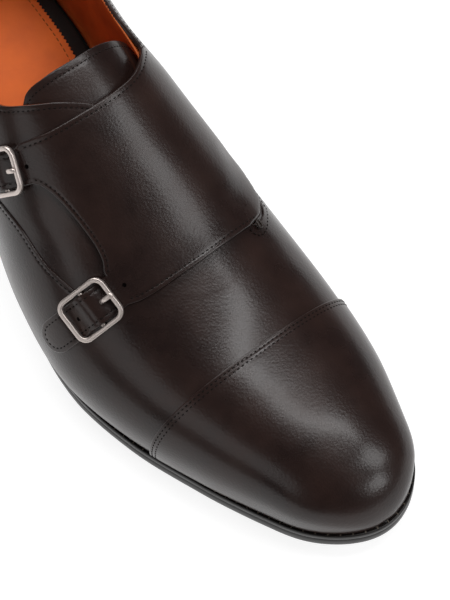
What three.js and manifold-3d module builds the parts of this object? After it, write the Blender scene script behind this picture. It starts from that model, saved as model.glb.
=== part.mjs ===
// A man's double monk strap shoe with a cap toe: right foot, millimetres, +Z up, toe towards +X,
// outer (lateral) side towards -Y. Every leather piece is a sheet thickened along the normals of one
// form, the last, which a short table of cross-sections describes.
import * as THREE from "three";
import { mergeVertices } from "three/addons/utils/BufferGeometryUtils.js";
import Module from "manifold-3d";

const wasm = await Module();
wasm.setup();

// ---- Driving dimensions -----------------------------------------------------------------------------

const CLEARANCE = 0.3;
// Faceted sheets that lie on one another keep a little more, for the depth of their facets.
const LAYER_GAP = 0.5;

// The last's two ends, and the station behind which the heel is a fan of sections.
const LAST = { back: 4, tip: 297.15, fanStart: 38, tipTrim: 0.15 };

// One row a section. half: feather half width; bulge*: how far each side swells past the feather;
// feather: height of the feather line; bulgeZ*: height of the widest place above the feather;
// height: ridge above the feather; ridge: its shift sideways; power: superellipse exponent of the arch.
const LAST_TABLE = [
  { x: 38, centre: 0, half: 31, bulgeLat: 3.5, bulgeMed: 3.5, feather: 33,
    bulgeZLat: 20, bulgeZMed: 20, height: 78, ridge: 0, power: 2.6 },
  { x: 75, centre: -1, half: 31, bulgeLat: 4.5, bulgeMed: 5, feather: 31.5,
    bulgeZLat: 20, bulgeZMed: 20, height: 82, ridge: 1, power: 2.5 },
  { x: 110, centre: -5.1, half: 32, bulgeLat: 6, bulgeMed: 8, feather: 22,
    bulgeZLat: 19, bulgeZMed: 20, height: 84.9, ridge: 3, power: 2.4 },
  { x: 150, centre: -7.4, half: 41.5, bulgeLat: 3.7, bulgeMed: 6.5, feather: 12,
    bulgeZLat: 16, bulgeZMed: 18, height: 73.3, ridge: 5, power: 2.2 },
  { x: 185, centre: -5.4, half: 45.9, bulgeLat: 3.7, bulgeMed: 4.1, feather: 8.5,
    bulgeZLat: 13, bulgeZMed: 15, height: 55.1, ridge: 4.5, power: 2.15 },
  { x: 215, centre: -1.1, half: 44, bulgeLat: 2.5, bulgeMed: 2.7, feather: 8,
    bulgeZLat: 11, bulgeZMed: 13, height: 43.9, ridge: 2.5, power: 2.15 },
  { x: 245, centre: 3.5, half: 37, bulgeLat: 1.7, bulgeMed: 2.5, feather: 9.5,
    bulgeZLat: 10, bulgeZMed: 11, height: 36.5, ridge: 1, power: 2.2 },
  { x: 270, centre: 6.9, half: 29, bulgeLat: 0.9, bulgeMed: 0.4, feather: 12.5,
    bulgeZLat: 9, bulgeZMed: 10, height: 28.7, ridge: 0, power: 2.2 },
  { x: 288, centre: 8.5, half: 18.7, bulgeLat: 0.9, bulgeMed: 0.6, feather: 15.5,
    bulgeZLat: 8, bulgeZMed: 8, height: 17.7, ridge: 0, power: 2.2 },
];
// Columns that shrink to nothing at the last's ends, with its elliptical closure.
const CLOSING_COLUMNS = ["half", "bulgeLat", "bulgeMed", "height"];
const COLUMNS = Object.keys(LAST_TABLE[0]).filter((name) => name !== "x");

// Back of the heel: how far forward of the origin its profile stands, by share of the collar height.
const HEEL_PROFILE = [
  { share: 0, x: 6.5 },
  { share: 0.18, x: 3.6 },
  { share: 0.38, x: 2.8 },
  { share: 0.62, x: 5.2 },
  { share: 0.82, x: 8.8 },
  { share: 1, x: 11.5 },
];
const HEEL = { collarHeight: 57, roundness: 2.15 };

// Collar and throat edge as a share of the girth from the ridge (0) to the feather (1).
const THROAT_X = 138;
const COLLAR_TABLE = [
  { x: 38, lateral: 0.46, medial: 0.45 },
  { x: 60, lateral: 0.485, medial: 0.455 },
  { x: 80, lateral: 0.465, medial: 0.385 },
  { x: 100, lateral: 0.38, medial: 0.33 },
  { x: 112, lateral: 0.3, medial: 0.332 },
  { x: 120, lateral: 0.2, medial: 0.32 },
  { x: 127, lateral: 0.085, medial: 0.27 },
  { x: 133, lateral: 0, medial: 0.16 },
  { x: THROAT_X, lateral: 0, medial: 0 },
];

const WALL = 2.2;
const CAP = { thickness: 1.2, seamX: 227.4, seamBow: 6.5, seamCentre: -0.3, edgeShare: 0.965 };
const FLAP_THICKNESS = 1.7;
// The tongue's middle lies topMiddle from the ridge at its top and on it at its root.
const TONGUE = { gap: 1.5, thickness: 1.6, rootX: 172, topMiddle: 10, topHalf: 37, rootHalf: 22 };
// The tongue's top edge: across from its lateral side (-1) to its medial side (1).
const TONGUE_TOP = [
  { across: -1, x: 118.5 },
  { across: -0.86, x: 115.7 },
  { across: -0.6, x: 116 },
  { across: -0.2, x: 116.3 },
  { across: 0.2, x: 114.8 },
  { across: 0.6, x: 112.6 },
  { across: 0.86, x: 111.8 },
  { across: 1, x: 114 },
];

// Sole parts, measured down from the feather line.
const WELT = { drop: 3, inset: 7 };
// The outsole thickens between the heel's breast (shankX) and the ball (ballX).
const SOLE = { depth: 8.3, heelDepth: 7, shankX: 80, ballX: 160, edgeRound: 0.8, fillerGap: 0.4 };
const SOLE_MARGINS = [
  { x: 4, lateral: 1.8, medial: 1.8 },
  { x: 75, lateral: 1.4, medial: 1.2 },
  { x: 110, lateral: 0.4, medial: -1 },
  { x: 150, lateral: 0.5, medial: -0.5 },
  { x: 190, lateral: 2.1, medial: 2.1 },
  { x: 240, lateral: 2.6, medial: 2.6 },
  { x: 297, lateral: 3, medial: 3 },
];
const INSOLE = { inset: 2.9, height: 3 };
// cornerGap: how far behind the breast the last point of each side lies.
const HEEL_BLOCK = { breastX: 80, topPiece: 6, gap: 0.6, inset: 0.6, taper: 1.6, cornerGap: 1 };

// Buckles: length runs along the strap, rise and pinZ are heights above the last.
const BUCKLE = {
  length: 21.5, width: 18.5, bar: 1.9, corner: 4.4, bevel: 0.45, rise: 2.05, depth: 2.1, pin: 1.8, pinZ: 1.65,
};
const PRONG = { radius: 0.7, holeRadius: 1.05 };
// The strap rises over the buckle's centre bar in a hump.
const STRAP = { width: 13.3, hump: 2.45, humpReach: 8, rootReach: 11.5, flareReach: 7 };
// Each buckle's place: a station, a distance round from the ridge, and how far its strap tilts back
// from straight down the side. tipReach: from the buckle's middle to the strap's tip. flare: how much
// the strap's rear edge widens by its root.
const STRAPS = {
  front: { x: 182, s: -40, tiltDeg: 8.5, tipReach: 24.8, flare: 0 },
  rear: { x: 127, s: -45.6, tiltDeg: 37, tipReach: 24.8, flare: 2 },
};

// Flap edges on the last: x at a distance s (mm) from the ridge, medial positive.
const FLAP_TOP = [
  { s: -31.05, x: 126.87 },
  { s: -27, x: 128.5 },
  { s: -20, x: 130.8 },
  { s: -13, x: 132 },
  { s: -6, x: 132.5 },
  { s: 1, x: 132.5 },
  { s: 8, x: 131.8 },
  { s: 15, x: 130.2 },
  { s: 21, x: 127.3 },
  { s: 27, x: 123.2 },
  { s: 34, x: 118.2 },
];
const FLAP_FRONT = [
  { s: -27.82, x: 189.13 },
  { s: -23, x: 190.7 },
  { s: -16, x: 191.5 },
  { s: -5, x: 191.5 },
  { s: 5, x: 191 },
  { s: 14, x: 190 },
  { s: 34, x: 186.5 },
];
const FLAP_MEDIAL_S = 34;
// The scooped edge between the two straps.
const FLAP_SCOOP = [
  { x: 141.5, s: -32.4 },
  { x: 146.5, s: -29.9 },
  { x: 153, s: -28.2 },
  { x: 161, s: -26.9 },
  { x: 168, s: -26.4 },
  { x: 173, s: -27.2 },
  { x: 176, s: -29 },
];

// ---- Small helpers ----------------------------------------------------------------------------------

const lerp = (a, b, t) => a + (b - a) * t;
const clamp = (value, low, high) => Math.min(high, Math.max(low, value));
const range = (count) => Array.from({ length: count }, (_, i) => i);
const signedPower = (value, power) => Math.sign(value) * Math.abs(value) ** power;

/** Linear reading of a table with rows sorted by the key column. */
function readTable(table, key, at, column) {
  const last = table.length - 1;
  if (at <= table[0][key]) return table[0][column];
  if (at >= table[last][key]) return table[last][column];
  const i = table.findIndex((row) => row[key] > at) - 1;
  const t = (at - table[i][key]) / (table[i + 1][key] - table[i][key]);
  return lerp(table[i][column], table[i + 1][column], t);
}

/** Smooth cubic reading of a table with rows sorted by the key column. */
function readSmooth(table, key, at, column) {
  const last = table.length - 1;
  if (at <= table[0][key]) return table[0][column];
  if (at >= table[last][key]) return table[last][column];
  const i = table.findIndex((row) => row[key] > at) - 1;
  const slope = (j) => {
    const a = table[Math.max(j - 1, 0)];
    const b = table[Math.min(j + 1, last)];
    return (b[column] - a[column]) / (b[key] - a[key]);
  };
  const span = table[i + 1][key] - table[i][key];
  return hermite(table[i][column], table[i + 1][column], slope(i) * span, slope(i + 1) * span,
    (at - table[i][key]) / span);
}

/** Cubic from a to b with a slope at each end, t from 0 to 1. */
function hermite(a, b, slopeA, slopeB, t) {
  const t2 = t * t;
  const t3 = t2 * t;
  const values = a * (2 * t3 - 3 * t2 + 1) + b * (3 * t2 - 2 * t3);
  return values + slopeA * (t3 - 2 * t2 + t) + slopeB * (t3 - t2);
}

// ---- The last ---------------------------------------------------------------------------------------

/** Elliptical closure of the form's ends: 1 in the middle, 0 at both ends. */
function closure(x) {
  const t = clamp((x - LAST.back) / (LAST.tip - LAST.back), 0, 1);
  return 2 * Math.sqrt(t * (1 - t));
}

function closureSlope(x) {
  const t = (x - LAST.back) / (LAST.tip - LAST.back);
  return (1 - 2 * t) / Math.sqrt(t * (1 - t)) / (LAST.tip - LAST.back);
}

const closes = (name) => CLOSING_COLUMNS.includes(name);
const relativeRows = LAST_TABLE.map((row) => Object.fromEntries(
  Object.entries(row).map(([name, value]) => [name, closes(name) ? value / closure(row.x) : value])));

/** Slope of one column at row i, such that the form runs straight where the heel fan begins. */
function rowSlope(i, name) {
  const rows = relativeRows;
  const last = rows.length - 1;
  if (i === 0) return closes(name) ? -rows[0][name] * closureSlope(rows[0].x) / closure(rows[0].x) : 0;
  const before = (rows[i][name] - rows[i - 1][name]) / (rows[i].x - rows[i - 1].x);
  if (i === last) return name === "centre" || name === "feather" ? before : 0;
  const after = (rows[i + 1][name] - rows[i][name]) / (rows[i + 1].x - rows[i].x);
  const spanAfter = rows[i + 1].x - rows[i].x;
  const spanBefore = rows[i].x - rows[i - 1].x;
  return (before * spanAfter + after * spanBefore) / (spanAfter + spanBefore);
}

const rowSlopes = relativeRows.map((_, i) => Object.fromEntries(
  COLUMNS.map((name) => [name, rowSlope(i, name)])));

/** The last's section values at station x. */
function lastRow(x) {
  const rows = relativeRows;
  const last = rows.length - 1;
  const i = clamp(rows.findIndex((row) => row.x > x) - 1, 0, last - 1);
  const k = x >= rows[last].x ? last - 1 : i;
  const span = rows[k + 1].x - rows[k].x;
  const t = (x - rows[k].x) / span;
  const row = {};
  for (const name of COLUMNS) {
    const a = rows[k][name];
    const b = rows[k + 1][name];
    const inside = hermite(a, b, rowSlopes[k][name] * span, rowSlopes[k + 1][name] * span, clamp(t, 0, 1));
    const beyond = Math.max(t - 1, 0) * span * rowSlopes[k + 1][name];
    row[name] = (inside + beyond) * (closes(name) ? closure(x) : 1);
  }
  return row;
}

const ARCH_STEPS = 48;
const TUCK_STEPS = 8;
const TUCK_ANGLE = 0.85 * Math.PI / 2;
// Sections lower than this, near the toe's tip, have a lower tuck.
const FULL_TUCK_HEIGHT = 20;

/** Half-arc from the widest place down to the feather, as shares of bulge and of bulge height. */
const tuck = range(TUCK_STEPS).map((i) => {
  const angle = TUCK_ANGLE * (1 - i / TUCK_STEPS);
  return {
    inward: (1 - Math.cos(angle)) / (1 - Math.cos(TUCK_ANGLE)),
    drop: Math.sin(angle) / Math.sin(TUCK_ANGLE),
  };
});

/** Points [y, z] of the section at x, from the lateral feather over the ridge to the medial feather. */
function sectionPoints(x) {
  const row = lastRow(x);
  const shrink = Math.min(1, row.height / FULL_TUCK_HEIGHT);
  const bulgeZLat = row.bulgeZLat * shrink;
  const bulgeZMed = row.bulgeZMed * shrink;
  const lateral = tuck.map(({ inward, drop }) => [
    row.centre - (row.half + row.bulgeLat) + row.bulgeLat * inward,
    row.feather + bulgeZLat - bulgeZLat * drop,
  ]);
  const medial = tuck.map(({ inward, drop }) => [
    row.centre + (row.half + row.bulgeMed) - row.bulgeMed * inward,
    row.feather + bulgeZMed - bulgeZMed * drop,
  ]).reverse();
  const arch = range(2 * ARCH_STEPS + 1).map((i) => {
    const angle = Math.PI * (1 - i / (2 * ARCH_STEPS));
    const mix = (1 + Math.cos(angle)) / 2;
    const side = mix * mix * (3 - 2 * mix);
    const width = lerp(row.half + row.bulgeLat + row.ridge, row.half + row.bulgeMed - row.ridge, side);
    const base = row.feather + lerp(bulgeZLat, bulgeZMed, side);
    return [
      row.centre + row.ridge + signedPower(Math.cos(angle), 2 / row.power) * width,
      base + (row.feather + row.height - base) * Math.abs(Math.sin(angle)) ** (2 / row.power),
    ];
  });
  return [...lateral, ...arch, ...medial];
}

const sectionCache = new Map();

/** The section at x with its girth measured both ways from the ridge. */
function section(x) {
  const key = x.toFixed(4);
  if (!sectionCache.has(key)) {
    const points = sectionPoints(x);
    const ridgeIndex = TUCK_STEPS + ARCH_STEPS;
    const run = [0];
    for (let i = 1; i < points.length; i += 1) {
      run.push(run[i - 1] + Math.hypot(points[i][0] - points[i - 1][0], points[i][1] - points[i - 1][1]));
    }
    const fromRidge = run.map((value) => value - run[ridgeIndex]);
    const girths = { lateral: -fromRidge[0], medial: fromRidge[points.length - 1] };
    sectionCache.set(key, { points, fromRidge, ...girths });
  }
  return sectionCache.get(key);
}

/** Point on the last at station x and girth share v: -1 lateral feather, 0 ridge, +1 medial feather. */
function lastPoint(x, v) {
  const { points, fromRidge, lateral, medial } = section(x);
  const s = v < 0 ? v * lateral : v * medial;
  let low = 0;
  let high = points.length - 1;
  while (high - low > 1) {
    const middle = (low + high) >> 1;
    if (fromRidge[middle] <= s) low = middle;
    else high = middle;
  }
  const t = clamp((s - fromRidge[low]) / (fromRidge[high] - fromRidge[low]), 0, 1);
  const [y, z] = [0, 1].map((axis) => lerp(points[low][axis], points[high][axis], t));
  return new THREE.Vector3(x, y, z);
}

/** Girth share of the point s millimetres from the ridge at station x. */
function shareAt(x, s) {
  const { lateral, medial } = section(x);
  return s < 0 ? s / lateral : s / medial;
}

// Half steps over which a surface's slopes are taken, and how near the tip the last's may reach.
const SLOPE_STEP = { x: 0.5, share: 0.01, turn: 0.004 };
const SLOPE_TIP_MARGIN = 0.05;

/** Point and outward normal of a surface given as a function of two parameters. */
function withNormal(surface, a, b, stepA, stepB, limitsA, limitsB) {
  const a0 = Math.max(a - stepA, limitsA[0]);
  const a1 = Math.min(a + stepA, limitsA[1]);
  const b0 = Math.max(b - stepB, limitsB[0]);
  const b1 = Math.min(b + stepB, limitsB[1]);
  const alongA = surface(a1, b).sub(surface(a0, b));
  const alongB = surface(a, b1).sub(surface(a, b0));
  return { point: surface(a, b), normal: alongA.cross(alongB).normalize() };
}

function onLast(x, v) {
  const stations = [LAST.fanStart, LAST.tip - SLOPE_TIP_MARGIN];
  return withNormal(lastPoint, x, v, SLOPE_STEP.x, SLOPE_STEP.share, stations, [-1, 1]);
}

/** Point on the heel fan. turn: 0 lateral, 0.5 back, 1 medial. rise: 0 feather, 1 collar. */
function heelPoint(turn, rise) {
  const angle = Math.PI * turn;
  const collar = COLLAR_TABLE[0];
  const v = turn < 0.5 ? -lerp(1, collar.lateral, rise) : lerp(1, collar.medial, rise);
  const side = lastPoint(LAST.fanStart, v);
  const row = lastRow(LAST.fanStart);
  const backX = readSmooth(HEEL_PROFILE, "share", rise, "x");
  const backZ = row.feather + rise * HEEL.collarHeight;
  const depth = Math.abs(Math.sin(angle)) ** (2 / HEEL.roundness);
  const spread = Math.abs(Math.cos(angle)) ** (2 / HEEL.roundness);
  const mix = Math.sin(angle) ** 2;
  return new THREE.Vector3(
    LAST.fanStart - (LAST.fanStart - backX) * depth,
    row.centre + (side.y - row.centre) * spread,
    lerp(side.z, backZ, mix),
  );
}

function onHeel(turn, rise) {
  const surface = (a, b) => heelPoint(b, a);
  return withNormal(surface, rise, turn, SLOPE_STEP.share, SLOPE_STEP.turn, [0, 1], [0, 1]);
}

// ---- Sheets: shared vertices on a surface, thickened into closed solids -----------------------------

class Sheet {
  constructor() {
    this.vertices = [];
    this.faces = [];
  }

  add({ point, normal }, lift = 0) {
    this.vertices.push({ point, normal, lift });
    return this.vertices.length - 1;
  }

  triangle(a, b, c) {
    if (a !== b && b !== c && c !== a) this.faces.push([a, b, c]);
  }

  /** Quads over rows of vertex numbers, facing outwards for rows along +x and columns along +v. */
  grid(ids) {
    for (let i = 0; i + 1 < ids.length; i += 1) {
      for (let j = 0; j + 1 < ids[i].length; j += 1) {
        this.triangle(ids[i][j], ids[i + 1][j], ids[i + 1][j + 1]);
        this.triangle(ids[i][j], ids[i + 1][j + 1], ids[i][j + 1]);
      }
    }
  }

  /** Closed solid between two offsets from the surface, with its rim closed. */
  thicken(inner, outer) {
    const count = this.vertices.length;
    const positions = [];
    for (const offset of [outer, inner]) {
      for (const { point, normal, lift } of this.vertices) {
        positions.push(...point.clone().addScaledVector(normal, offset + lift).toArray());
      }
    }
    const triangles = [];
    const edges = new Map();
    for (const [a, b, c] of this.faces) {
      triangles.push(a, b, c, a + count, c + count, b + count);
      for (const [from, to] of [[a, b], [b, c], [c, a]]) edges.set(`${from},${to}`, [from, to]);
    }
    for (const [from, to] of edges.values()) {
      if (!edges.has(`${to},${from}`)) {
        triangles.push(to, from, from + count, to, from + count, to + count);
      }
    }
    return geometryOf(positions, triangles);
  }
}

function geometryOf(positions, triangles) {
  const geometry = new THREE.BufferGeometry();
  geometry.setAttribute("position", new THREE.Float32BufferAttribute(positions, 3));
  geometry.setIndex(triangles);
  return geometry;
}

// ---- Joins and cuts ---------------------------------------------------------------------------------

function toManifold(geometry) {
  const bare = geometry.clone();
  bare.deleteAttribute("normal");
  bare.deleteAttribute("uv");
  const merged = mergeVertices(bare, 1e-4);
  return new wasm.Manifold(new wasm.Mesh({
    numProp: 3,
    vertProperties: new Float32Array(merged.attributes.position.array),
    triVerts: new Uint32Array(merged.index.array),
  }));
}

function fromManifold(solid) {
  const mesh = solid.getMesh();
  return geometryOf(Array.from(mesh.vertProperties), Array.from(mesh.triVerts));
}

const joined = (a, b) => fromManifold(toManifold(a).add(toManifold(b)));
const cutBy = (a, b) => fromManifold(toManifold(a).subtract(toManifold(b)));

// ---- Upper ------------------------------------------------------------------------------------------

const SIDE_COLUMNS = 11;
const FORE_STATIONS = 17;
const FAN_STEPS = 12;
const REAR_STATIONS = [133, 127, 120, 112, 100, 88, 75, 62, 50, LAST.fanStart];

/** Stations from the throat to the toe, closer together where the toe turns down. */
function foreStations(start, count) {
  const end = LAST.tip - LAST.tipTrim;
  return range(count + 1).map((i) => lerp(start, end, Math.sin(i / count * Math.PI / 2)));
}

/** The whole upper as one sheet: both sides joined over the ridge in front of the throat. */
function upperSheet() {
  const sheet = new Sheet();
  const shares = range(2 * SIDE_COLUMNS + 1).map((j) => j / SIDE_COLUMNS - 1);
  const fore = foreStations(THROAT_X, FORE_STATIONS).map((x) => shares.map((v) => sheet.add(onLast(x, v))));
  const pole = sheet.add(toePole());
  sheet.grid([...fore, fore[0].map(() => pole)]);

  const sideIds = (x, side) => range(SIDE_COLUMNS + 1).map((j) => {
    const collar = readSmooth(COLLAR_TABLE, "x", x, side < 0 ? "lateral" : "medial");
    return sheet.add(onLast(x, side * lerp(1, collar, j / SIDE_COLUMNS)));
  });
  const lateral = [fore[0].slice(0, SIDE_COLUMNS + 1), ...REAR_STATIONS.map((x) => sideIds(x, -1))];
  const medial = [fore[0].slice(SIDE_COLUMNS), ...REAR_STATIONS.map((x) => sideIds(x, 1).reverse())];
  sheet.grid(lateral.slice().reverse());
  sheet.grid(medial.slice().reverse());

  const lateralEnd = lateral[lateral.length - 1];
  const medialEnd = medial[medial.length - 1].slice().reverse();
  const fan = range(FAN_STEPS - 1).map((i) => range(SIDE_COLUMNS + 1).map(
    (j) => sheet.add(onHeel((i + 1) / FAN_STEPS, j / SIDE_COLUMNS))));
  sheet.grid([medialEnd, ...fan.reverse(), lateralEnd]);
  return sheet;
}

/** The foremost point of the last. */
function toePole() {
  const row = lastRow(LAST.tip);
  return { point: new THREE.Vector3(LAST.tip, row.centre, row.feather), normal: new THREE.Vector3(1, 0, 0) };
}

// ---- Toe cap and tongue -----------------------------------------------------------------------------

const CAP_ROWS = 10;
const CAP_COLUMNS = 22;

function capSeamX(v) {
  return CAP.seamX - CAP.seamBow * (v - CAP.seamCentre) ** 2;
}

function toeCap() {
  const sheet = new Sheet();
  const shares = range(CAP_COLUMNS + 1).map((j) => lerp(-CAP.edgeShare, CAP.edgeShare, j / CAP_COLUMNS));
  const end = LAST.tip - LAST.tipTrim;
  const rows = range(CAP_ROWS + 1).map((i) => {
    const share = Math.sin(i / CAP_ROWS * Math.PI / 2);
    return shares.map((v) => sheet.add(onLast(lerp(capSeamX(v), end, share), v)));
  });
  const pole = onLast(end, 0);
  const poleId = sheet.add({ point: toePole().point.setZ(pole.point.z), normal: new THREE.Vector3(1, 0, 0) });
  sheet.grid([...rows, rows[0].map(() => poleId)]);
  return sheet.thicken(LAYER_GAP, LAYER_GAP + CAP.thickness);
}

const TONGUE_ROWS = 10;
const TONGUE_COLUMNS = 10;

function tongue() {
  const sheet = new Sheet();
  const rows = range(TONGUE_ROWS + 1).map((i) => range(TONGUE_COLUMNS + 1).map((j) => {
    const across = 2 * j / TONGUE_COLUMNS - 1;
    const x = lerp(readSmooth(TONGUE_TOP, "across", across, "x"), TONGUE.rootX, i / TONGUE_ROWS);
    const middle = lerp(TONGUE.topMiddle, 0, i / TONGUE_ROWS);
    const half = lerp(TONGUE.topHalf, TONGUE.rootHalf, i / TONGUE_ROWS);
    return sheet.add(onLast(x, shareAt(x, middle + half * across)));
  }));
  sheet.grid(rows);
  const outer = -WALL - TONGUE.gap;
  return sheet.thicken(outer - TONGUE.thickness, outer);
}

// ---- Strap plans ------------------------------------------------------------------------------------

/** Matrix of a strap's buckle: X along the strap to its tip, Y across it forwards, Z out of the shoe. */
function buckleMatrix(strap) {
  const v = shareAt(strap.x, strap.s);
  const { point, normal } = onLast(strap.x, v);
  const down = lastPoint(strap.x, v - 0.01).sub(point);
  down.addScaledVector(normal, -down.dot(normal)).normalize();
  const forwards = normal.clone().cross(down);
  const tilt = THREE.MathUtils.degToRad(strap.tiltDeg);
  const along = down.multiplyScalar(Math.cos(tilt)).addScaledVector(forwards, -Math.sin(tilt));
  return new THREE.Matrix4().makeBasis(along, normal.clone().cross(along), normal).setPosition(point);
}

// Repeated small corrections that find a place on the last, their slope steps, and the shares they keep to.
const PLACE_SEARCH = { rounds: 12, stepX: 0.2, stepShare: 0.004, lowShare: -0.99, highShare: 0.5 };

/** Place on the last (station and girth share) straight under a point of a strap's plan. */
function strapPlace(strap, along, across) {
  const inverse = buckleMatrix(strap).invert();
  const planAt = (x, v) => lastPoint(x, v).applyMatrix4(inverse);
  let x = strap.x;
  let v = shareAt(strap.x, strap.s);
  const { rounds, stepX, stepShare, lowShare, highShare } = PLACE_SEARCH;
  for (let round = 0; round < rounds; round += 1) {
    const here = planAt(x, v);
    const byX = planAt(x + stepX, v).sub(here).divideScalar(stepX);
    const byV = planAt(x, v + stepShare).sub(here).divideScalar(stepShare);
    const missX = along - here.x;
    const missY = across - here.y;
    const area = byX.x * byV.y - byX.y * byV.x;
    x += (missX * byV.y - missY * byV.x) / area;
    v = clamp(v + (byX.x * missY - byX.y * missX) / area, lowShare, highShare);
  }
  return { x, v };
}

// ---- Instep flap with its two straps ----------------------------------------------------------------

const STRAP_COLUMNS = 4;
const STRAP_ROWS = 18;
const TIP_ROWS = 4;
// Share of a quarter turn at which the strap's round tip is closed.
const TIP_TURN = 0.93;
const FLAP_ROWS = 12;

function strapHump(along) {
  if (Math.abs(along) >= STRAP.humpReach) return 0;
  return STRAP.hump * Math.cos(Math.PI * along / (2 * STRAP.humpReach)) ** 2;
}

/** Place across a strap, its rear edge flared towards the root. */
function flaredAcross(strap, along, across) {
  const t = clamp((-along - STRAP.flareReach) / (STRAP.rootReach - STRAP.flareReach), 0, 1);
  return across - strap.flare * t * t * (3 - 2 * t) * (0.5 - across / STRAP.width);
}

/** Vertex rows of one strap from its root to its round tip; each row runs from its rear edge forwards. */
function strapRows(sheet, strap) {
  const half = STRAP.width / 2;
  const straight = range(STRAP_ROWS + 1).map((i) => ({
    along: lerp(-STRAP.rootReach, strap.tipReach - half, i / STRAP_ROWS),
    reach: half,
  }));
  const tip = range(TIP_ROWS).map((i) => {
    const angle = (i + 1) / TIP_ROWS * Math.PI / 2 * TIP_TURN;
    return { along: strap.tipReach - half + half * Math.sin(angle), reach: half * Math.cos(angle) };
  });
  return [...straight, ...tip].map(({ along, reach }) => range(STRAP_COLUMNS + 1).map((j) => {
    const across = flaredAcross(strap, along, reach * (2 * j / STRAP_COLUMNS - 1));
    const { x, v } = strapPlace(strap, along, across);
    return sheet.add(onLast(x, v), strapHump(along));
  }));
}

/** The flap's lateral edge in order of x: rear strap root, scoop, front strap root. */
function flapLateralEdge() {
  const rootOf = (strap) => range(STRAP_COLUMNS + 1).map((j) => {
    const across = flaredAcross(strap, -STRAP.rootReach, STRAP.width * (j / STRAP_COLUMNS - 0.5));
    const { x, v } = strapPlace(strap, -STRAP.rootReach, across);
    return { x, s: v * section(x).lateral };
  });
  return [...rootOf(STRAPS.rear), ...FLAP_SCOOP, ...rootOf(STRAPS.front)];
}

function strapFlap() {
  const sheet = new Sheet();
  const edge = flapLateralEdge();
  const rear = strapRows(sheet, STRAPS.rear);
  const front = strapRows(sheet, STRAPS.front);
  const scoopIds = FLAP_SCOOP.map(({ x, s }) => sheet.add(onLast(x, shareAt(x, s))));
  const edgeIds = [...rear[0], ...scoopIds, ...front[0]];
  const rows = range(FLAP_ROWS).map((i) => edge.map((place, j) => {
    const t = 1 - i / FLAP_ROWS;
    const s = lerp(place.s, FLAP_MEDIAL_S, t);
    const top = readSmooth(FLAP_TOP, "s", s, "x");
    const foot = readSmooth(FLAP_FRONT, "s", s, "x");
    const edgeTop = readSmooth(FLAP_TOP, "s", place.s, "x");
    const edgeFoot = readSmooth(FLAP_FRONT, "s", place.s, "x");
    const laterally = (place.x - edgeTop) / (edgeFoot - edgeTop);
    const share = lerp(laterally, j / (edge.length - 1), t);
    const x = lerp(top, foot, share);
    return sheet.add(onLast(x, shareAt(x, s)));
  }));
  // Rows run from the medial end to the lateral edge; the sheet's own order is +x rows, +v columns.
  const body = edge.map((_, j) => [edgeIds[j], ...rows.map((row) => row[j]).reverse()]);
  sheet.grid(body);
  for (const strap of [rear, front]) {
    sheet.grid(range(STRAP_COLUMNS + 1).map((j) => strap.map((row) => row[j]).reverse()));
  }
  return sheet.thicken(LAYER_GAP, LAYER_GAP + FLAP_THICKNESS);
}

// ---- Buckles ----------------------------------------------------------------------------------------

function roundedRectangle(PathClass, length, width, corner) {
  const path = new PathClass();
  const x = length / 2 - corner;
  const y = width / 2 - corner;
  path.absarc(x, y, corner, 0, Math.PI / 2, false);
  path.absarc(-x, y, corner, Math.PI / 2, Math.PI, false);
  path.absarc(-x, -y, corner, Math.PI, 1.5 * Math.PI, false);
  path.absarc(x, -y, corner, 1.5 * Math.PI, 2 * Math.PI, false);
  return path;
}

/** Frame and centre bar, one casting. */
function buckleFrame() {
  const { length, width, bar, corner, bevel, rise, depth, pin, pinZ } = BUCKLE;
  const outline = roundedRectangle(THREE.Shape, length - 2 * bevel, width - 2 * bevel, corner - bevel);
  const hole = roundedRectangle(THREE.Path, length - 2 * bar + 2 * bevel, width - 2 * bar + 2 * bevel,
    corner - bar + bevel);
  outline.holes.push(hole);
  const frame = new THREE.ExtrudeGeometry(outline, {
    depth: depth - 2 * bevel,
    curveSegments: 5,
    bevelEnabled: true,
    bevelThickness: bevel,
    bevelSize: bevel,
    bevelSegments: 1,
  });
  frame.translate(0, 0, rise + bevel);
  const centreBar = new THREE.CylinderGeometry(pin / 2, pin / 2, width - bar, 10);
  centreBar.translate(0, 0, pinZ);
  return joined(frame, centreBar);
}

const PRONG_PATH = [
  { along: -1.6, height: 1.5 },
  { along: -3.4, height: 1.7 },
  { along: -5.2, height: 3.05 },
  { along: -7, height: 4.65 },
  { along: -8.9, height: 5.1 },
  { along: -11, height: 5 },
];
const PRONG_SIDES = 8;
const PRONG_STEPS = 12;

function prongBar(radius) {
  const circle = new THREE.Shape(range(PRONG_SIDES).map((i) => {
    const angle = 2 * Math.PI * (i + 0.5) / PRONG_SIDES;
    return new THREE.Vector2(radius * Math.cos(angle), radius * Math.sin(angle));
  }));
  const path = new THREE.CatmullRomCurve3(PRONG_PATH.map(
    ({ along, height }) => new THREE.Vector3(along, 0, height)));
  return new THREE.ExtrudeGeometry(circle, { steps: PRONG_STEPS, extrudePath: path });
}

// ---- Sole, welt, insole and heel --------------------------------------------------------------------

const HEEL_TURNS = 7;
const SOLE_STATIONS = 26;

/** Plan of the feather line from the back of the heel to the toe tip, one side: x, y. */
function featherSide(side) {
  const row = lastRow(LAST.fanStart);
  const heelX = HEEL_PROFILE[0].x;
  const heel = range(HEEL_TURNS).map((i) => {
    const angle = i / HEEL_TURNS * Math.PI / 2;
    return {
      x: LAST.fanStart - (LAST.fanStart - heelX) * Math.cos(angle) ** (2 / HEEL.roundness),
      y: row.centre + side * row.half * Math.sin(angle) ** (2 / HEEL.roundness),
    };
  });
  const fore = range(SOLE_STATIONS + 1).map((i) => {
    const x = lerp(LAST.fanStart, LAST.tip, Math.sin(i / SOLE_STATIONS * Math.PI / 2));
    const { centre, half } = lastRow(x);
    return { x, y: centre + side * half };
  });
  return [...heel, ...fore];
}

const lateralSide = featherSide(-1);
const medialSide = featherSide(1);

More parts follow.
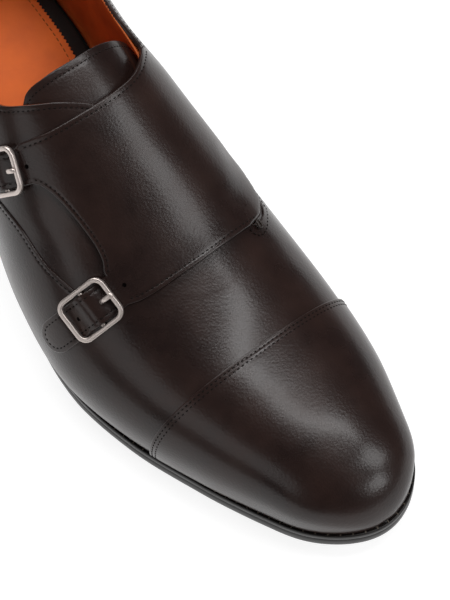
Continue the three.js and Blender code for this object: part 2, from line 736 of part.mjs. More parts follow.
/** Closed loop: back of the heel, lateral side, toe tip, medial side. */
const featherLoop = [...lateralSide, ...medialSide.slice(1, -1).reverse()];

/** The feather loop moved outwards by a margin given for each of its points. */
function offsetLoop(loop, marginAt) {
  return loop.map((place, i) => {
    const before = loop[(i + loop.length - 1) % loop.length];
    const after = loop[(i + 1) % loop.length];
    const run = Math.hypot(after.x - before.x, after.y - before.y);
    const margin = marginAt(place);
    return {
      x: place.x + (after.y - before.y) / run * margin,
      y: place.y - (after.x - before.x) / run * margin,
    };
  });
}

function soleMargin({ x, y }) {
  const centre = lastRow(Math.max(x, LAST.fanStart)).centre;
  return readTable(SOLE_MARGINS, "x", x, y < centre ? "lateral" : "medial");
}

const featherZ = (x) => lastRow(Math.max(x, LAST.fanStart)).feather;

/** Underside of the outsole: flat on the ground under the ball, raised at arch and toe. */
function soleBottomZ(x) {
  const share = clamp((x - SOLE.shankX) / (SOLE.ballX - SOLE.shankX), 0, 1);
  const depth = lerp(SOLE.heelDepth, SOLE.depth, share);
  return Math.max(0, featherZ(x) - depth);
}

/** Loop of 3-D points at a height that depends on the station. */
const raised = (loop, heightAt) => loop.map(({ x, y }) => new THREE.Vector3(x, y, heightAt(x)));

/** Closed solid through a stack of loops with equal counts, bottom first, its ends closed by ladders. */
function stackOf(rings, { tube = false } = {}) {
  const count = rings[0].length;
  const positions = rings.flat().flatMap((point) => point.toArray());
  const triangles = [];
  const bands = tube ? rings.length : rings.length - 1;
  for (let k = 0; k < bands; k += 1) {
    const low = k * count;
    const high = ((k + 1) % rings.length) * count;
    for (let i = 0; i < count; i += 1) {
      const next = (i + 1) % count;
      triangles.push(low + i, low + next, high + next, low + i, high + next, high + i);
    }
  }
  if (!tube) {
    triangles.push(...ladder(count, 0, true));
    triangles.push(...ladder(count, (rings.length - 1) * count, false));
  }
  return geometryOf(positions, triangles);
}

/** Triangles across a loop that starts at the back of the heel, pairing its two sides. */
function ladder(count, base, faceDown) {
  const triangles = [];
  const push = (a, b, c) => triangles.push(...(faceDown ? [a, c, b] : [a, b, c]).map((i) => base + i));
  push(0, 1, count - 1);
  for (let i = 1; i + 1 < count - i; i += 1) {
    push(i, i + 1, count - i);
    if (i + 1 < count - i - 1) push(i + 1, count - i - 1, count - i);
  }
  return triangles;
}

function outsole() {
  const edge = offsetLoop(featherLoop, soleMargin);
  const foot = offsetLoop(featherLoop, (place) => soleMargin(place) - SOLE.edgeRound);
  const ledge = offsetLoop(featherLoop, () => -WELT.inset - CLEARANCE);
  const filler = offsetLoop(featherLoop, () => -WELT.inset - CLEARANCE - SOLE.fillerGap);
  const top = (x) => featherZ(x) - WELT.drop - CLEARANCE;
  return stackOf([
    raised(foot, soleBottomZ),
    raised(edge, (x) => soleBottomZ(x) + SOLE.edgeRound),
    raised(edge, top),
    raised(ledge, top),
    raised(filler, (x) => featherZ(x) - CLEARANCE),
  ]);
}

function welt() {
  const edge = offsetLoop(featherLoop, soleMargin);
  const inner = offsetLoop(featherLoop, () => -WELT.inset);
  const top = (x) => featherZ(x) - CLEARANCE;
  const bottom = (x) => featherZ(x) - WELT.drop;
  return stackOf([raised(edge, bottom), raised(edge, top), raised(inner, top), raised(inner, bottom)],
    { tube: true });
}

function insole() {
  const loop = offsetLoop(featherLoop, () => -INSOLE.inset);
  return stackOf([raised(loop, featherZ), raised(loop, (x) => featherZ(x) + INSOLE.height)]);
}

/** The heel's plan as a loop from its back, ending in the straight breast, inset from the sole edge. */
function heelLoop(inset) {
  const loop = offsetLoop(featherLoop, (place) => soleMargin(place) - inset);
  const behind = (places) => places.filter(({ x }) => x < HEEL_BLOCK.breastX - HEEL_BLOCK.cornerGap);
  const half = Math.floor(featherLoop.length / 2);
  const lateral = behind(loop.slice(0, half + 1));
  const medial = behind(loop.slice(half + 1));
  const breast = (side) => {
    const { centre, half: width } = lastRow(HEEL_BLOCK.breastX);
    const margin = readTable(SOLE_MARGINS, "x", HEEL_BLOCK.breastX, side < 0 ? "lateral" : "medial");
    return { x: HEEL_BLOCK.breastX, y: centre + side * (width + margin - inset) };
  };
  return [...lateral, breast(-1), breast(1), ...medial];
}

function heelBlock() {
  const top = raised(heelLoop(HEEL_BLOCK.inset), (x) => soleBottomZ(x) - HEEL_BLOCK.gap);
  const low = raised(heelLoop(HEEL_BLOCK.inset + HEEL_BLOCK.taper), () => HEEL_BLOCK.topPiece + CLEARANCE);
  return stackOf([low, top]);
}

function heelTopPiece() {
  const inset = HEEL_BLOCK.inset + HEEL_BLOCK.taper;
  return stackOf([
    raised(heelLoop(inset + SOLE.edgeRound), () => 0),
    raised(heelLoop(inset), () => SOLE.edgeRound),
    raised(heelLoop(inset), () => HEEL_BLOCK.topPiece),
  ]);
}

// ---- The shoe ---------------------------------------------------------------------------------------

const FINISHES = {
  darkLeather: { color: "#2b2220", roughness: 0.32, metalness: 0 },
  soleLeather: { color: "#1d1817", roughness: 0.45, metalness: 0 },
  heelRubber: { color: "#151414", roughness: 0.8, metalness: 0 },
  sockLeather: { color: "#b85c2c", roughness: 0.6, metalness: 0 },
  nickel: { color: "#a39692", roughness: 0.3, metalness: 1 },
};

function piece(name, geometry, finish) {
  const mesh = new THREE.Mesh(geometry, new THREE.MeshStandardMaterial({ ...FINISHES[finish] }));
  mesh.name = name;
  return mesh;
}

/** The flap with a hole through each strap where its prong passes. */
function punchedFlap() {
  return Object.values(STRAPS).reduce(
    (leather, strap) => cutBy(leather, prongBar(PRONG.holeRadius).applyMatrix4(buckleMatrix(strap))),
    strapFlap(),
  );
}

const shoe = new THREE.Group();
for (const [name, strap] of Object.entries(STRAPS)) {
  const frame = piece(`buckle_${name}`, buckleFrame(), "nickel");
  const prong = piece(`prong_${name}`, prongBar(PRONG.radius), "nickel");
  for (const part of [frame, prong]) {
    buckleMatrix(strap).decompose(part.position, part.quaternion, part.scale);
  }
  shoe.add(frame, prong);
}
shoe.add(piece("upper", upperSheet().thicken(-WALL, 0), "darkLeather"));
shoe.add(piece("toe_cap", toeCap(), "darkLeather"));
shoe.add(piece("tongue", tongue(), "darkLeather"));
shoe.add(piece("strap_flap", punchedFlap(), "darkLeather"));
shoe.add(piece("welt", welt(), "soleLeather"));
shoe.add(piece("outsole", outsole(), "soleLeather"));
shoe.add(piece("insole", insole(), "sockLeather"));
shoe.add(piece("heel_block", heelBlock(), "soleLeather"));
shoe.add(piece("heel_top_piece", heelTopPiece(), "heelRubber"));

// The origin is the middle of the shoe's box, on the ground.
shoe.updateMatrixWorld(true);
const box = new THREE.Box3().setFromObject(shoe, true);
shoe.position.set(-(box.min.x + box.max.x) / 2, -(box.min.y + box.max.y) / 2, -box.min.z);
shoe.updateMatrixWorld(true);

export default shoe;
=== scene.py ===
"""A man's double monk strap shoe with a cap toe, right foot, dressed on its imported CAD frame.

Lengths inside the classes are millimetres in the last's own frame: x from the heel to the toe, y across
with the outer (lateral) side negative, z up from the ground. Meshes are written in metres in the frame
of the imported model. A place on the last is a pair (w, v). w is the station; behind the heel fan's start
it runs on round the heel to the middle of its back. v is the share of the girth from the ridge:
-1 at the lateral feather, 0 on the ridge and +1 at the medial feather.
"""

import logging
import math
from dataclasses import dataclass, field
from enum import Enum
from typing import Any, Callable, Sequence

import bmesh
import bpy
import numpy as np
from mathutils import Matrix, Vector
from mathutils.kdtree import KDTree


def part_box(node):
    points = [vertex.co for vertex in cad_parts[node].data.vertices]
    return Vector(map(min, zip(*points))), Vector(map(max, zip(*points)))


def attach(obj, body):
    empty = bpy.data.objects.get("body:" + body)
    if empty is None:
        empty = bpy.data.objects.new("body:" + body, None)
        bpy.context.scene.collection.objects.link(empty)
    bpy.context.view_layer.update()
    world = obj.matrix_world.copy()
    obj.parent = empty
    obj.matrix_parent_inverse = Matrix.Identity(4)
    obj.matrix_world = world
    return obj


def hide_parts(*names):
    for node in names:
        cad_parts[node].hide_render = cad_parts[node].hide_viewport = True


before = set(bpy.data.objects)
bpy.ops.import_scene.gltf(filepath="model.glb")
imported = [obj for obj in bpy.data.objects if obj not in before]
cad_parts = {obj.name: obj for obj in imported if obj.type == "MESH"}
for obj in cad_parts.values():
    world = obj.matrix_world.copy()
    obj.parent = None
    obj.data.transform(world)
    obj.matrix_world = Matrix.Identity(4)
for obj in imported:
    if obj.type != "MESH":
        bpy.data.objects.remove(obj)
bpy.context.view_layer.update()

LOG = logging.getLogger("monk_strap_shoe")
MM = 0.001
BODY = "root"
TINY = 1e-9
RIGHT_ANGLE = math.pi / 2
UP = np.array([0.0, 0.0, 1.0])

Array = np.ndarray
Mesh = bpy.types.Object
Faces = list[tuple[int, ...]]
Rows = Sequence[tuple[float, ...]]
Height = Callable[[Array, Array], Array]
Pair = tuple[float, float]
Grid = tuple[Array, Array]
Tree = bpy.types.NodeTree


class Side(Enum):
    """Which side of the shoe, with the sign of its y."""

    LATERAL = -1
    MEDIAL = 1


# ---- Numbers ----


def smoothstep(low: float, high: float, value: Array) -> Array:
    """Eased step.

    Args:
        low: Value at which the step starts from 0.
        high: Value at which it reaches 1.
        value: Places to read.

    Returns:
        The step at each place.
    """
    t = np.clip((np.asarray(value, float) - low) / (high - low), 0.0, 1.0)
    return t * t * (3.0 - 2.0 * t)


def hermite(a: Array, b: Array, slope_a: Array, slope_b: Array, t: Array) -> Array:
    """A cubic between two values.

    Args:
        a: Value at its start.
        b: Value at its end.
        slope_a: Slope at its start, over the whole span.
        slope_b: Slope at its end, over the whole span.
        t: Share of the way.

    Returns:
        The value there.
    """
    start = a * (2 * t**3 - 3 * t**2 + 1) + slope_a * (t**3 - 2 * t**2 + t)
    return start + b * (3 * t**2 - 2 * t**3) + slope_b * (t**3 - t**2)


def cubic(knots: Array, values: Array, at: Array) -> Array:
    """Reads a smooth cubic through table rows, level beyond its ends.

    Args:
        knots: Increasing keys, one a row.
        values: Values, one or more columns a row.
        at: Keys to read.

    Returns:
        The values at each key.
    """
    at = np.clip(np.asarray(at, float), knots[0], knots[-1])
    before = np.maximum(np.arange(len(knots)) - 1, 0)
    after = np.minimum(np.arange(len(knots)) + 1, len(knots) - 1)
    flat = (1,) * (values.ndim - 1)
    slopes = (values[after] - values[before]) / (knots[after] - knots[before]).reshape((-1,) + flat)
    i = np.clip(np.searchsorted(knots, at, side="right") - 1, 0, len(knots) - 2)
    span = knots[i + 1] - knots[i]
    t = ((at - knots[i]) / span).reshape(at.shape + flat)
    span = span.reshape(at.shape + flat)
    return hermite(values[i], values[i + 1], slopes[i] * span, slopes[i + 1] * span, t)


def table_at(table: Rows, at: Array, column: int = 1) -> Array:
    """Smooth reading of one column of a table at keys from its first column."""
    rows = np.array(table, float)
    return cubic(rows[:, 0], rows[:, column], at)


def points_from(*coordinates: Array | float) -> Array:
    """Points from their coordinates, each an array or one number."""
    return np.stack(np.broadcast_arrays(*coordinates), -1)


def unit(directions: Array) -> Array:
    """Directions made one long."""
    return directions / np.maximum(np.linalg.norm(directions, axis=-1, keepdims=True), TINY)


def run_length(points: Array) -> Array:
    """Distance from the first point along a line of points, the last axis holding their coordinates."""
    steps = np.linalg.norm(np.diff(points, axis=0), axis=-1)
    return np.concatenate([[0.0], np.cumsum(steps)])


def along_line(points: Array, run: Array, where: Array) -> Array:
    """Points read at distances along a line of points whose own distances are run."""
    return points_from(*(np.interp(where, run, column) for column in points.T))


def spacing(length: float, start: Sequence[float], end: Sequence[float], inner: int) -> Array:
    """Distances along a line, close together near its ends.

    Args:
        length: The line's length.
        start: Distances wanted from its start, the first 0.
        end: Distances wanted from its end, the first 0.
        inner: How many more places lie evenly between.

    Returns:
        Increasing distances from 0 to the length.
    """
    end_share = 0.45
    head, tail = (
        np.asarray(near, float) * min(1.0, end_share * length / max(near[-1], TINY)) for near in (start, end)
    )
    tail = length - tail[::-1]
    return np.concatenate([head, np.linspace(head[-1], tail[0], inner + 2)[1:-1], tail])


# ---- The last ----


@dataclass(frozen=True)
class Section:
    """One cross-section of the last, in millimetres.

    half is the feather's half width, bulge_* how far each side swells past it, feather the height of the
    feather line, bulge_z_* the height of the widest place above it, height the ridge above it, ridge the
    ridge's shift sideways, and power the exponent of the arch.
    """

    x: float
    centre: float
    half: float
    bulge_lat: float
    bulge_med: float
    feather: float
    bulge_z_lat: float
    bulge_z_med: float
    height: float
    ridge: float
    power: float


SECTIONS = (
    Section(38, 0, 31, 3.5, 3.5, 33, 20, 20, 78, 0, 2.6),
    Section(75, -1, 31, 4.5, 5, 31.5, 20, 20, 82, 1, 2.5),
    Section(110, -5.1, 32, 6, 8, 22, 19, 20, 84.9, 3, 2.4),
    Section(150, -7.4, 41.5, 3.7, 6.5, 12, 16, 18, 73.3, 5, 2.2),
    Section(185, -5.4, 45.9, 3.7, 4.1, 8.5, 13, 15, 55.1, 4.5, 2.15),
    Section(215, -1.1, 44, 2.5, 2.7, 8, 11, 13, 43.9, 2.5, 2.15),
    Section(245, 3.5, 37, 1.7, 2.5, 9.5, 10, 11, 36.5, 1, 2.2),
    Section(270, 6.9, 29, 0.9, 0.4, 12.5, 9, 10, 28.7, 0, 2.2),
    Section(288, 8.5, 18.7, 0.9, 0.6, 15.5, 8, 8, 17.7, 0, 2.2),
)
COLUMNS = tuple(name for name in Section.__dataclass_fields__ if name != "x")
# Columns that close to nothing at both ends of the last.
CLOSING = ("half", "bulge_lat", "bulge_med", "height")

# Back of the heel: share of the collar height, how far forward of the origin the profile stands.
HEEL_PROFILE = ((0, 6.5), (0.18, 3.6), (0.38, 2.8), (0.62, 5.2), (0.82, 8.8), (1, 11.5))

# Collar and throat edge: station, lateral share, medial share of the girth from the ridge.
COLLAR = ((38, 0.46, 0.45), (60, 0.485, 0.455), (80, 0.465, 0.385), (100, 0.38, 0.33), (112, 0.3, 0.332),
          (120, 0.2, 0.32), (127, 0.085, 0.27), (133, 0, 0.16), (138, 0, 0))


@dataclass
class Last:
    """The form that every leather piece is laid on, read from a smooth grid of points."""

    back: float = 4.0
    tip: float = 297.15
    fan_start: float = 38.0
    back_w: float = -12.0
    collar_height: float = 57.0
    collar_lean: float = 14.0
    roundness: float = 2.15
    tuck_angle: float = 0.85 * RIGHT_ANGLE
    level_height: float = 20.0
    insole_inset: float = 2.9
    insole_widest: Pair = (120.0, 240.0)
    arch_steps: int = 300
    tuck_steps: int = 40
    fan_nodes: int = 32
    fore_nodes: int = 165
    share_nodes: int = 193
    relative: dict[str, Array] = field(default_factory=dict)
    slopes: dict[str, Array] = field(default_factory=dict)

    def __post_init__(self) -> None:
        """Fills the tables and the grid."""
        self.stations = np.array([row.x for row in SECTIONS], float)
        for name in COLUMNS:
            values = np.array([getattr(row, name) for row in SECTIONS], float)
            if name in CLOSING:
                values = values / self.closure(self.stations)
            self.relative[name] = values
            self.slopes[name] = self._row_slopes(name, values)
        self._build_grid()
        self.origin = self._origin()

    def closure(self, x: Array) -> Array:
        """Elliptical closure: 1 in the middle of the last and 0 at both ends."""
        t = np.clip((x - self.back) / (self.tip - self.back), 0.0, 1.0)
        return 2.0 * np.sqrt(t * (1.0 - t))

    def _row_slopes(self, name: str, values: Array) -> Array:
        """Slopes of one column at the table's rows, straight where the heel fan begins.

        Args:
            name: The column.
            values: Its values, closing columns as shares of the closure.

        Returns:
            One slope a row.
        """
        gaps = np.diff(self.stations)
        rises = np.diff(values) / gaps
        slopes = np.zeros(len(values))
        slopes[1:-1] = (rises[:-1] * gaps[1:] + rises[1:] * gaps[:-1]) / (gaps[:-1] + gaps[1:])
        if name in ("centre", "feather"):
            slopes[-1] = rises[-1]
        if name in CLOSING:
            reach = self.tip - self.back
            t = (self.stations[0] - self.back) / reach
            fall = (1.0 - 2.0 * t) / math.sqrt(t * (1.0 - t)) / reach
            slopes[0] = -values[0] * fall / self.closure(self.stations[0])
        return slopes

    def row(self, x: Array | float) -> dict[str, Array]:
        """Section values at stations.

        Args:
            x: The stations.

        Returns:
            The section's columns by name.
        """
        i = np.clip(np.searchsorted(self.stations, x, side="right") - 1, 0, len(self.stations) - 2)
        span = self.stations[i + 1] - self.stations[i]
        way = (x - self.stations[i]) / span
        values = {}
        for name, column in self.relative.items():
            slope, slope_end = self.slopes[name][i] * span, self.slopes[name][i + 1] * span
            inside = hermite(column[i], column[i + 1], slope, slope_end, np.clip(way, 0.0, 1.0))
            inside = inside + np.maximum(way - 1.0, 0.0) * slope_end
            values[name] = inside * (self.closure(x) if name in CLOSING else 1.0)
        return values

    def section(self, x: float) -> Grid:
        """Outline of one section.

        Args:
            x: The station.

        Returns:
            Points (y, z) from the lateral feather to the medial one, and each one's girth from the ridge.
        """
        row = self.row(x)
        shrink = min(1.0, row["height"] / self.level_height)
        low_lat, low_med = row["bulge_z_lat"] * shrink, row["bulge_z_med"] * shrink
        angle = self.tuck_angle * (1.0 - np.arange(self.tuck_steps) / self.tuck_steps)
        outward = 1.0 - (1.0 - np.cos(angle)) / (1.0 - math.cos(self.tuck_angle))
        raised = 1.0 - np.sin(angle) / math.sin(self.tuck_angle)
        lateral, medial = (
            points_from(row["centre"] + sign * (row["half"] + bulge * outward), row["feather"] + low * raised)
            for sign, bulge, low in ((-1.0, row["bulge_lat"], low_lat), (1.0, row["bulge_med"], low_med))
        )
        turn = math.pi * (1.0 - np.arange(2 * self.arch_steps + 1) / (2 * self.arch_steps))
        cos, sin = np.cos(turn), np.abs(np.sin(turn))
        mix = smoothstep(0.0, 1.0, (1.0 + cos) / 2.0)
        wide_lat = row["half"] + row["bulge_lat"] + row["ridge"]
        wide_med = row["half"] + row["bulge_med"] - row["ridge"]
        width = wide_lat + (wide_med - wide_lat) * mix
        base = row["feather"] + low_lat + (low_med - low_lat) * mix
        power = 2.0 / row["power"]
        arch = points_from(row["centre"] + row["ridge"] + np.sign(cos) * np.abs(cos) ** power * width,
                           base + (row["feather"] + row["height"] - base) * sin**power)
        points = np.concatenate([lateral, arch, medial[::-1]])
        run = run_length(points)
        return points, run - run[self.tuck_steps + self.arch_steps]

    def _build_grid(self) -> None:
        """Fills the padded grid of points over stations and shares."""
        shares = np.linspace(-1.0, 1.0, self.share_nodes)
        turns = np.linspace(0.0, RIGHT_ANGLE, self.fore_nodes + 1)
        self.fore_x = self.fan_start + (self.tip - self.fan_start) * np.sin(turns)
        rows, girths = [], []
        for x in self.fore_x:
            points, run = self.section(x)
            girths.append((-run[0], run[-1]))
            s = np.where(shares < 0, shares * -run[0], shares * run[-1])
            rows.append(points_from(x, *along_line(points, run, s).T))
        self.girths = np.array(girths)
        turns = 0.5 * (1.0 - np.arange(self.fan_nodes) / self.fan_nodes)
        grid = np.array([self._fan_row(turn, shares, rows[0]) for turn in turns] + rows)
        grid = np.concatenate([self._mirrored(grid[1], shares)[None], grid, 2 * grid[-1:] - grid[-2:-1]])
        first, final = 2 * grid[:, :1] - grid[:, 1:2], 2 * grid[:, -1:] - grid[:, -2:-1]
        self.grid = np.concatenate([first, grid, final], 1)

    def _rise(self, shares: Array) -> Array:
        """Share of the collar height at girth shares on the heel fan: 0 feather, 1 collar."""
        collar = np.where(shares < 0, COLLAR[0][1], COLLAR[0][2])
        return (1.0 - np.abs(shares)) / (1.0 - collar)

    def _mirrored(self, row: Array, shares: Array) -> Array:
        """A heel row's points, at the same rise on the other side of the back seam.

        Args:
            row: The row's points.
            shares: The girth shares.

        Returns:
            Points at the same rise.
        """
        other = np.where(shares < 0, COLLAR[0][2], COLLAR[0][1])
        swapped = -np.sign(shares) * (1.0 + (other - 1.0) * self._rise(shares))
        return along_line(row, shares, swapped)

    def _fan_row(self, turn: float, shares: Array, side: Array) -> Array:
        """One row of points down the heel.

        Args:
            turn: 0 at the lateral start of the fan, 0.5 at the back; the medial side mirrors it.
            shares: The girth shares.
            side: The section's points where the fan begins.

        Returns:
            The row's points.
        """
        row, rise = self.row(self.fan_start), self._rise(shares)
        back_x = table_at(HEEL_PROFILE, rise) + self.collar_lean * np.maximum(rise - 1.0, 0.0)
        back_z = row["feather"] + rise * self.collar_height
        depth = abs(math.sin(math.pi * turn)) ** (2.0 / self.roundness)
        spread = abs(math.cos(math.pi * turn)) ** (2.0 / self.roundness)
        return points_from(self.fan_start - (self.fan_start - back_x) * depth,
                           row["centre"] + (side[:, 1] - row["centre"]) * spread,
                           side[:, 2] + (back_z - side[:, 2]) * math.sin(math.pi * turn) ** 2)

    def _origin(self) -> Array:
        """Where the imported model's origin lies in the last's frame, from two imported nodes' boxes.

        Returns:
            The origin, mm.
        """
        low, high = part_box("insole")
        row = self.row(np.linspace(*self.insole_widest, 481))
        right = (row["centre"] + row["half"]).max() - self.insole_inset
        left = (row["centre"] - row["half"]).min() + self.insole_inset
        y = (left + right - (low.y + high.y) / MM) / 2.0
        return np.array([self.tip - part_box("upper")[1].x / MM, y, 0.0])

    def _columns(self, w: Array) -> Array:
        """Grid column of each station.

        Args:
            w: Stations.

        Returns:
            Columns, not whole.
        """
        behind = (w - self.back_w) / (self.fan_start - self.back_w) * self.fan_nodes
        share = np.clip((w - self.fan_start) / (self.tip - self.fan_start), 0.0, 1.0)
        ahead = self.fan_nodes + self.fore_nodes * np.arcsin(share) * 2.0 / math.pi
        return np.where(w < self.fan_start, behind, ahead)

    def surface(self, w: Array, v: Array) -> Grid:
        """Points of the last and its outward normals.

        Args:
            w: Stations.
            v: Girth shares, in an array of the same shape.

        Returns:
            Points and unit normals, with a last axis of three.
        """
        w, v = np.broadcast_arrays(np.asarray(w, float), np.asarray(v, float))
        q = np.clip(self._columns(w), 0.0, self.fan_nodes + self.fore_nodes)
        r = (np.clip(v, -1.0, 1.0) + 1.0) / 2.0 * (self.share_nodes - 1)
        i = np.minimum(q.astype(int), self.fan_nodes + self.fore_nodes - 1)
        j = np.minimum(r.astype(int), self.share_nodes - 2)
        by_q, slope_q = self._weights(q - i)
        by_r, slope_r = self._weights(r - j)
        point, along, across = (np.zeros(w.shape + (3,)) for _ in range(3))
        for a in range(4):
            for b in range(4):
                corner = self.grid[i + a, j + b]
                point += corner * (by_q[a] * by_r[b])[..., None]
                along += corner * (slope_q[a] * by_r[b])[..., None]
                across += corner * (by_q[a] * slope_r[b])[..., None]
        normal, flat = np.cross(along, across), 1e-5
        size = np.linalg.norm(normal, axis=-1, keepdims=True)
        return point, np.where(size > flat, normal / np.maximum(size, flat), (1.0, 0.0, 0.0))

    @staticmethod
    def _weights(t: Array) -> tuple[list[Array], list[Array]]:
        """Weights and slopes of the smooth curve through four neighbours.

        Args:
            t: How far past the second neighbour, 0 to 1.

        Returns:
            The four weights and their four slopes.
        """
        weights = [-0.5 * t + t**2 - 0.5 * t**3, 1.0 - 2.5 * t**2 + 1.5 * t**3,
                   0.5 * t + 2.0 * t**2 - 1.5 * t**3, -0.5 * t**2 + 0.5 * t**3]
        slopes = [-0.5 + 2.0 * t - 1.5 * t**2, -5.0 * t + 4.5 * t**2,
                  0.5 + 4.0 * t - 4.5 * t**2, -t + 1.5 * t**2]
        return weights, slopes

    def spot(self, w: float, v: float, step_w: float = 0.0,
             step_v: float = 0.0) -> tuple[Array, Array, Array]:
        """One place with the direction along the surface to a place close by.

        Args:
            w: Its station.
            v: Its girth share.
            step_w: How far ahead the second place's station lies.
            step_v: How far round the second place's share lies.

        Returns:
            The point, the normal and the unit direction.
        """
        points, normals = self.surface(np.array([w, w + step_w]), np.array([v, v + step_v]))
        way = points[1] - points[0]
        return points[0], normals[0], unit(way - normals[0] * (way @ normals[0]))

    def girth(self, x: Array, side: Side) -> Array:
        """Girth from the ridge to the feather at stations, on one side."""
        return np.interp(x, self.fore_x, self.girths[:, 0 if side is Side.LATERAL else 1])

    def share(self, x: Array, s: Array) -> Array:
        """Girth share of places s millimetres round from the ridge, medial positive."""
        s = np.asarray(s, float)
        return np.where(s < 0, s / self.girth(x, Side.LATERAL), s / self.girth(x, Side.MEDIAL))

    def round_from_ridge(self, x: Array, v: Array) -> Array:
        """Millimetres round from the ridge at girth shares, medial positive."""
        return np.where(v < 0, v * self.girth(x, Side.LATERAL), v * self.girth(x, Side.MEDIAL))

    def collar(self, w: Array, side: Side) -> Array:
        """Girth share, unsigned, of the collar edge at stations on one side."""
        return table_at(COLLAR, w, 1 if side is Side.LATERAL else 2)

    def moved(self, w: Array, v: Array, push: Array) -> Grid:
        """Places reached by a short move along the surface.

        Args:
            w: Stations.
            v: Girth shares.
            push: The move wanted at each place, in millimetres, last axis three.

        Returns:
            The new stations and shares.
        """
        step_w, step_v = 0.2, 0.002
        by_w = (self.surface(w + step_w, v)[0] - self.surface(w - step_w, v)[0]) / (2 * step_w)
        by_v = (self.surface(w, v + step_v)[0] - self.surface(w, v - step_v)[0]) / (2 * step_v)
        ww, vv, wv = (by_w**2).sum(-1), (by_v**2).sum(-1), (by_w * by_v).sum(-1)
        pw, pv = (by_w * push).sum(-1), (by_v * push).sum(-1)
        area = ww * vv - wv**2
        return w + (pw * vv - pv * wv) / area, v + (pv * ww - pw * wv) / area


# ---- Lines on the last ----


@dataclass
class Line:
    """A line on the last: stations, girth shares, and how high it rides above the piece's own height."""

    w: Array
    v: Array
    lift: Array | float = 0.0

    @staticmethod
    def through(last: Last, rows: Rows, count: int = 160) -> "Line":
        """A smooth line through places.

        Args:
            last: The form.
            rows: Station and girth share of each place.
            count: How many points the line gets.

        Returns:
            The line, its points evenly spaced.
        """
        table = np.array(rows, float)
        knots = run_length(last.surface(table[:, 0], table[:, 1])[0])
        line = Line(*cubic(knots, table, np.linspace(0.0, knots[-1], count * 4)).T)
        return line.at(last, np.linspace(0.0, line.length(last), count))

    def run(self, last: Last) -> Array:
        """Distance along the line on the last at each of its points."""
        return run_length(last.surface(self.w, self.v)[0])

    def length(self, last: Last) -> float:
        """The line's length on the last."""
        return float(self.run(last)[-1])

    def at(self, last: Last, distances: Array) -> "Line":
        """The line read at distances along it."""
        run, lift = self.run(last), np.broadcast_to(self.lift, self.w.shape)
        return Line(*(np.interp(distances, run, part) for part in (self.w, self.v, lift)))

    def marks(self, last: Last, step: float) -> Array:
        """Points of the last every step millimetres along the line."""
        places = self.at(last, np.arange(0.0, self.length(last), step))
        return last.surface(places.w, places.v)[0]

    def beside(self, last: Last, distance: float) -> "Line":
        """The line moved over the surface, to the left of its direction as seen from outside.

        Args:
            last: The form.
            distance: Millimetres to the left.

        Returns:
            The line beside this one.
        """
        points, normals = last.surface(self.w, self.v)
        along = unit(np.gradient(points, axis=0))
        return Line(*last.moved(self.w, self.v, np.cross(normals, along) * distance), self.lift)


def ruled(last: Last, start: Line, end: Line, near_start: Sequence[float], near_end: Sequence[float],
          step: float) -> Grid:
    """A grid of places ruled between two lines with equal counts.

    Args:
        last: The form.
        start: The line of the first row.
        end: The line of the last row.
        near_start: Distances of the rows close to the first line.
        near_end: Distances of the rows close to the last line.
        step: Distance between rows in the middle.

    Returns:
        Stations and girth shares, rows by columns.
    """

    def places(shares: Array) -> Grid:
        """Stations and girth shares at shares of the way between the lines."""
        return start.w + (end.w - start.w) * shares, start.v + (end.v - start.v) * shares

    shares = np.linspace(0.0, 1.0, 41)
    points = last.surface(*places(shares[:, None]))[0]
    runs = [run_length(points[:, j]) for j in range(points.shape[1])]
    longest = max(run[-1] for run in runs)
    inner = max(2, int((longest - near_start[-1] - near_end[-1]) / step))
    rows = [np.interp(spacing(run[-1], near_start, near_end, inner), run, shares) for run in runs]
    return places(np.stack(rows, 1))


# Rows beside a cut edge: close in the rounded corner, then round the seam's groove.
CUT_EDGE = (0.0, 0.1, 0.26, 0.45, 0.8, 1.2, 1.5, 1.8, 2.1, 2.5, 3.1)
PLAIN_EDGE = (0.0, 0.5)


# ---- Meshes ----


def to_metres(last: Last, points: Array) -> Array:
    """Points of the last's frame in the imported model's frame, in metres."""
    return (points - last.origin) * MM


def grid_faces(ids: Array, around: bool = False, along: bool = False) -> Faces:
    """Faces over a grid of vertex numbers.

    Args:
        ids: The vertex numbers, rows by columns.
        around: Whether the last column joins the first.
        along: Whether the last row joins the first.

    Returns:
        The faces, without those that have shrunk to a line.
    """
    if around:
        ids = np.concatenate([ids, ids[:, :1]], 1)
    if along:
        ids = np.concatenate([ids, ids[:1]])
    quads = np.stack([ids[:-1, :-1], ids[1:, :-1], ids[1:, 1:], ids[:-1, 1:]], -1).reshape(-1, 4)
    faces = [tuple(dict.fromkeys(quad)) for quad in quads.tolist()]
    return [face for face in faces if len(face) > 2]


def mesh_object(name: str, points: Array, faces: Faces, sharp_angle: float | None = None) -> Mesh:
    """Makes one smooth mesh object from points and faces, with its normals outwards.

    Args:
        name: The piece's name.
        points: Vertices in metres.
        faces: Vertex numbers of each face.
        sharp_angle: Edges that turn more than this many degrees stay sharp.

    Returns:
        The object, linked to the scene.
    """
    mesh = bpy.data.meshes.new(name)
    mesh.from_pydata(points.tolist(), [], faces)
    work = bmesh.new()
    work.from_mesh(mesh)
    bmesh.ops.recalc_face_normals(work, faces=work.faces)
    if sharp_angle is not None:
        limit = math.radians(sharp_angle)
        for edge in work.edges:
            if len(edge.link_faces) == 2 and edge.calc_face_angle(0.0) > limit:
                edge.smooth = False
    work.to_mesh(mesh)
    work.free()
    mesh.polygons.foreach_set("use_smooth", [True] * len(mesh.polygons))
    mesh.update()
    piece = bpy.data.objects.new(name, mesh)
    bpy.context.scene.collection.objects.link(piece)
    return piece


@dataclass
class Soft:
    """A soft trough or ridge pressed into a piece along a line of the last.

    depth is positive for a trough; width is the distance from its middle to where it has faded.
    """

    line: Line
    depth: float
    width: float


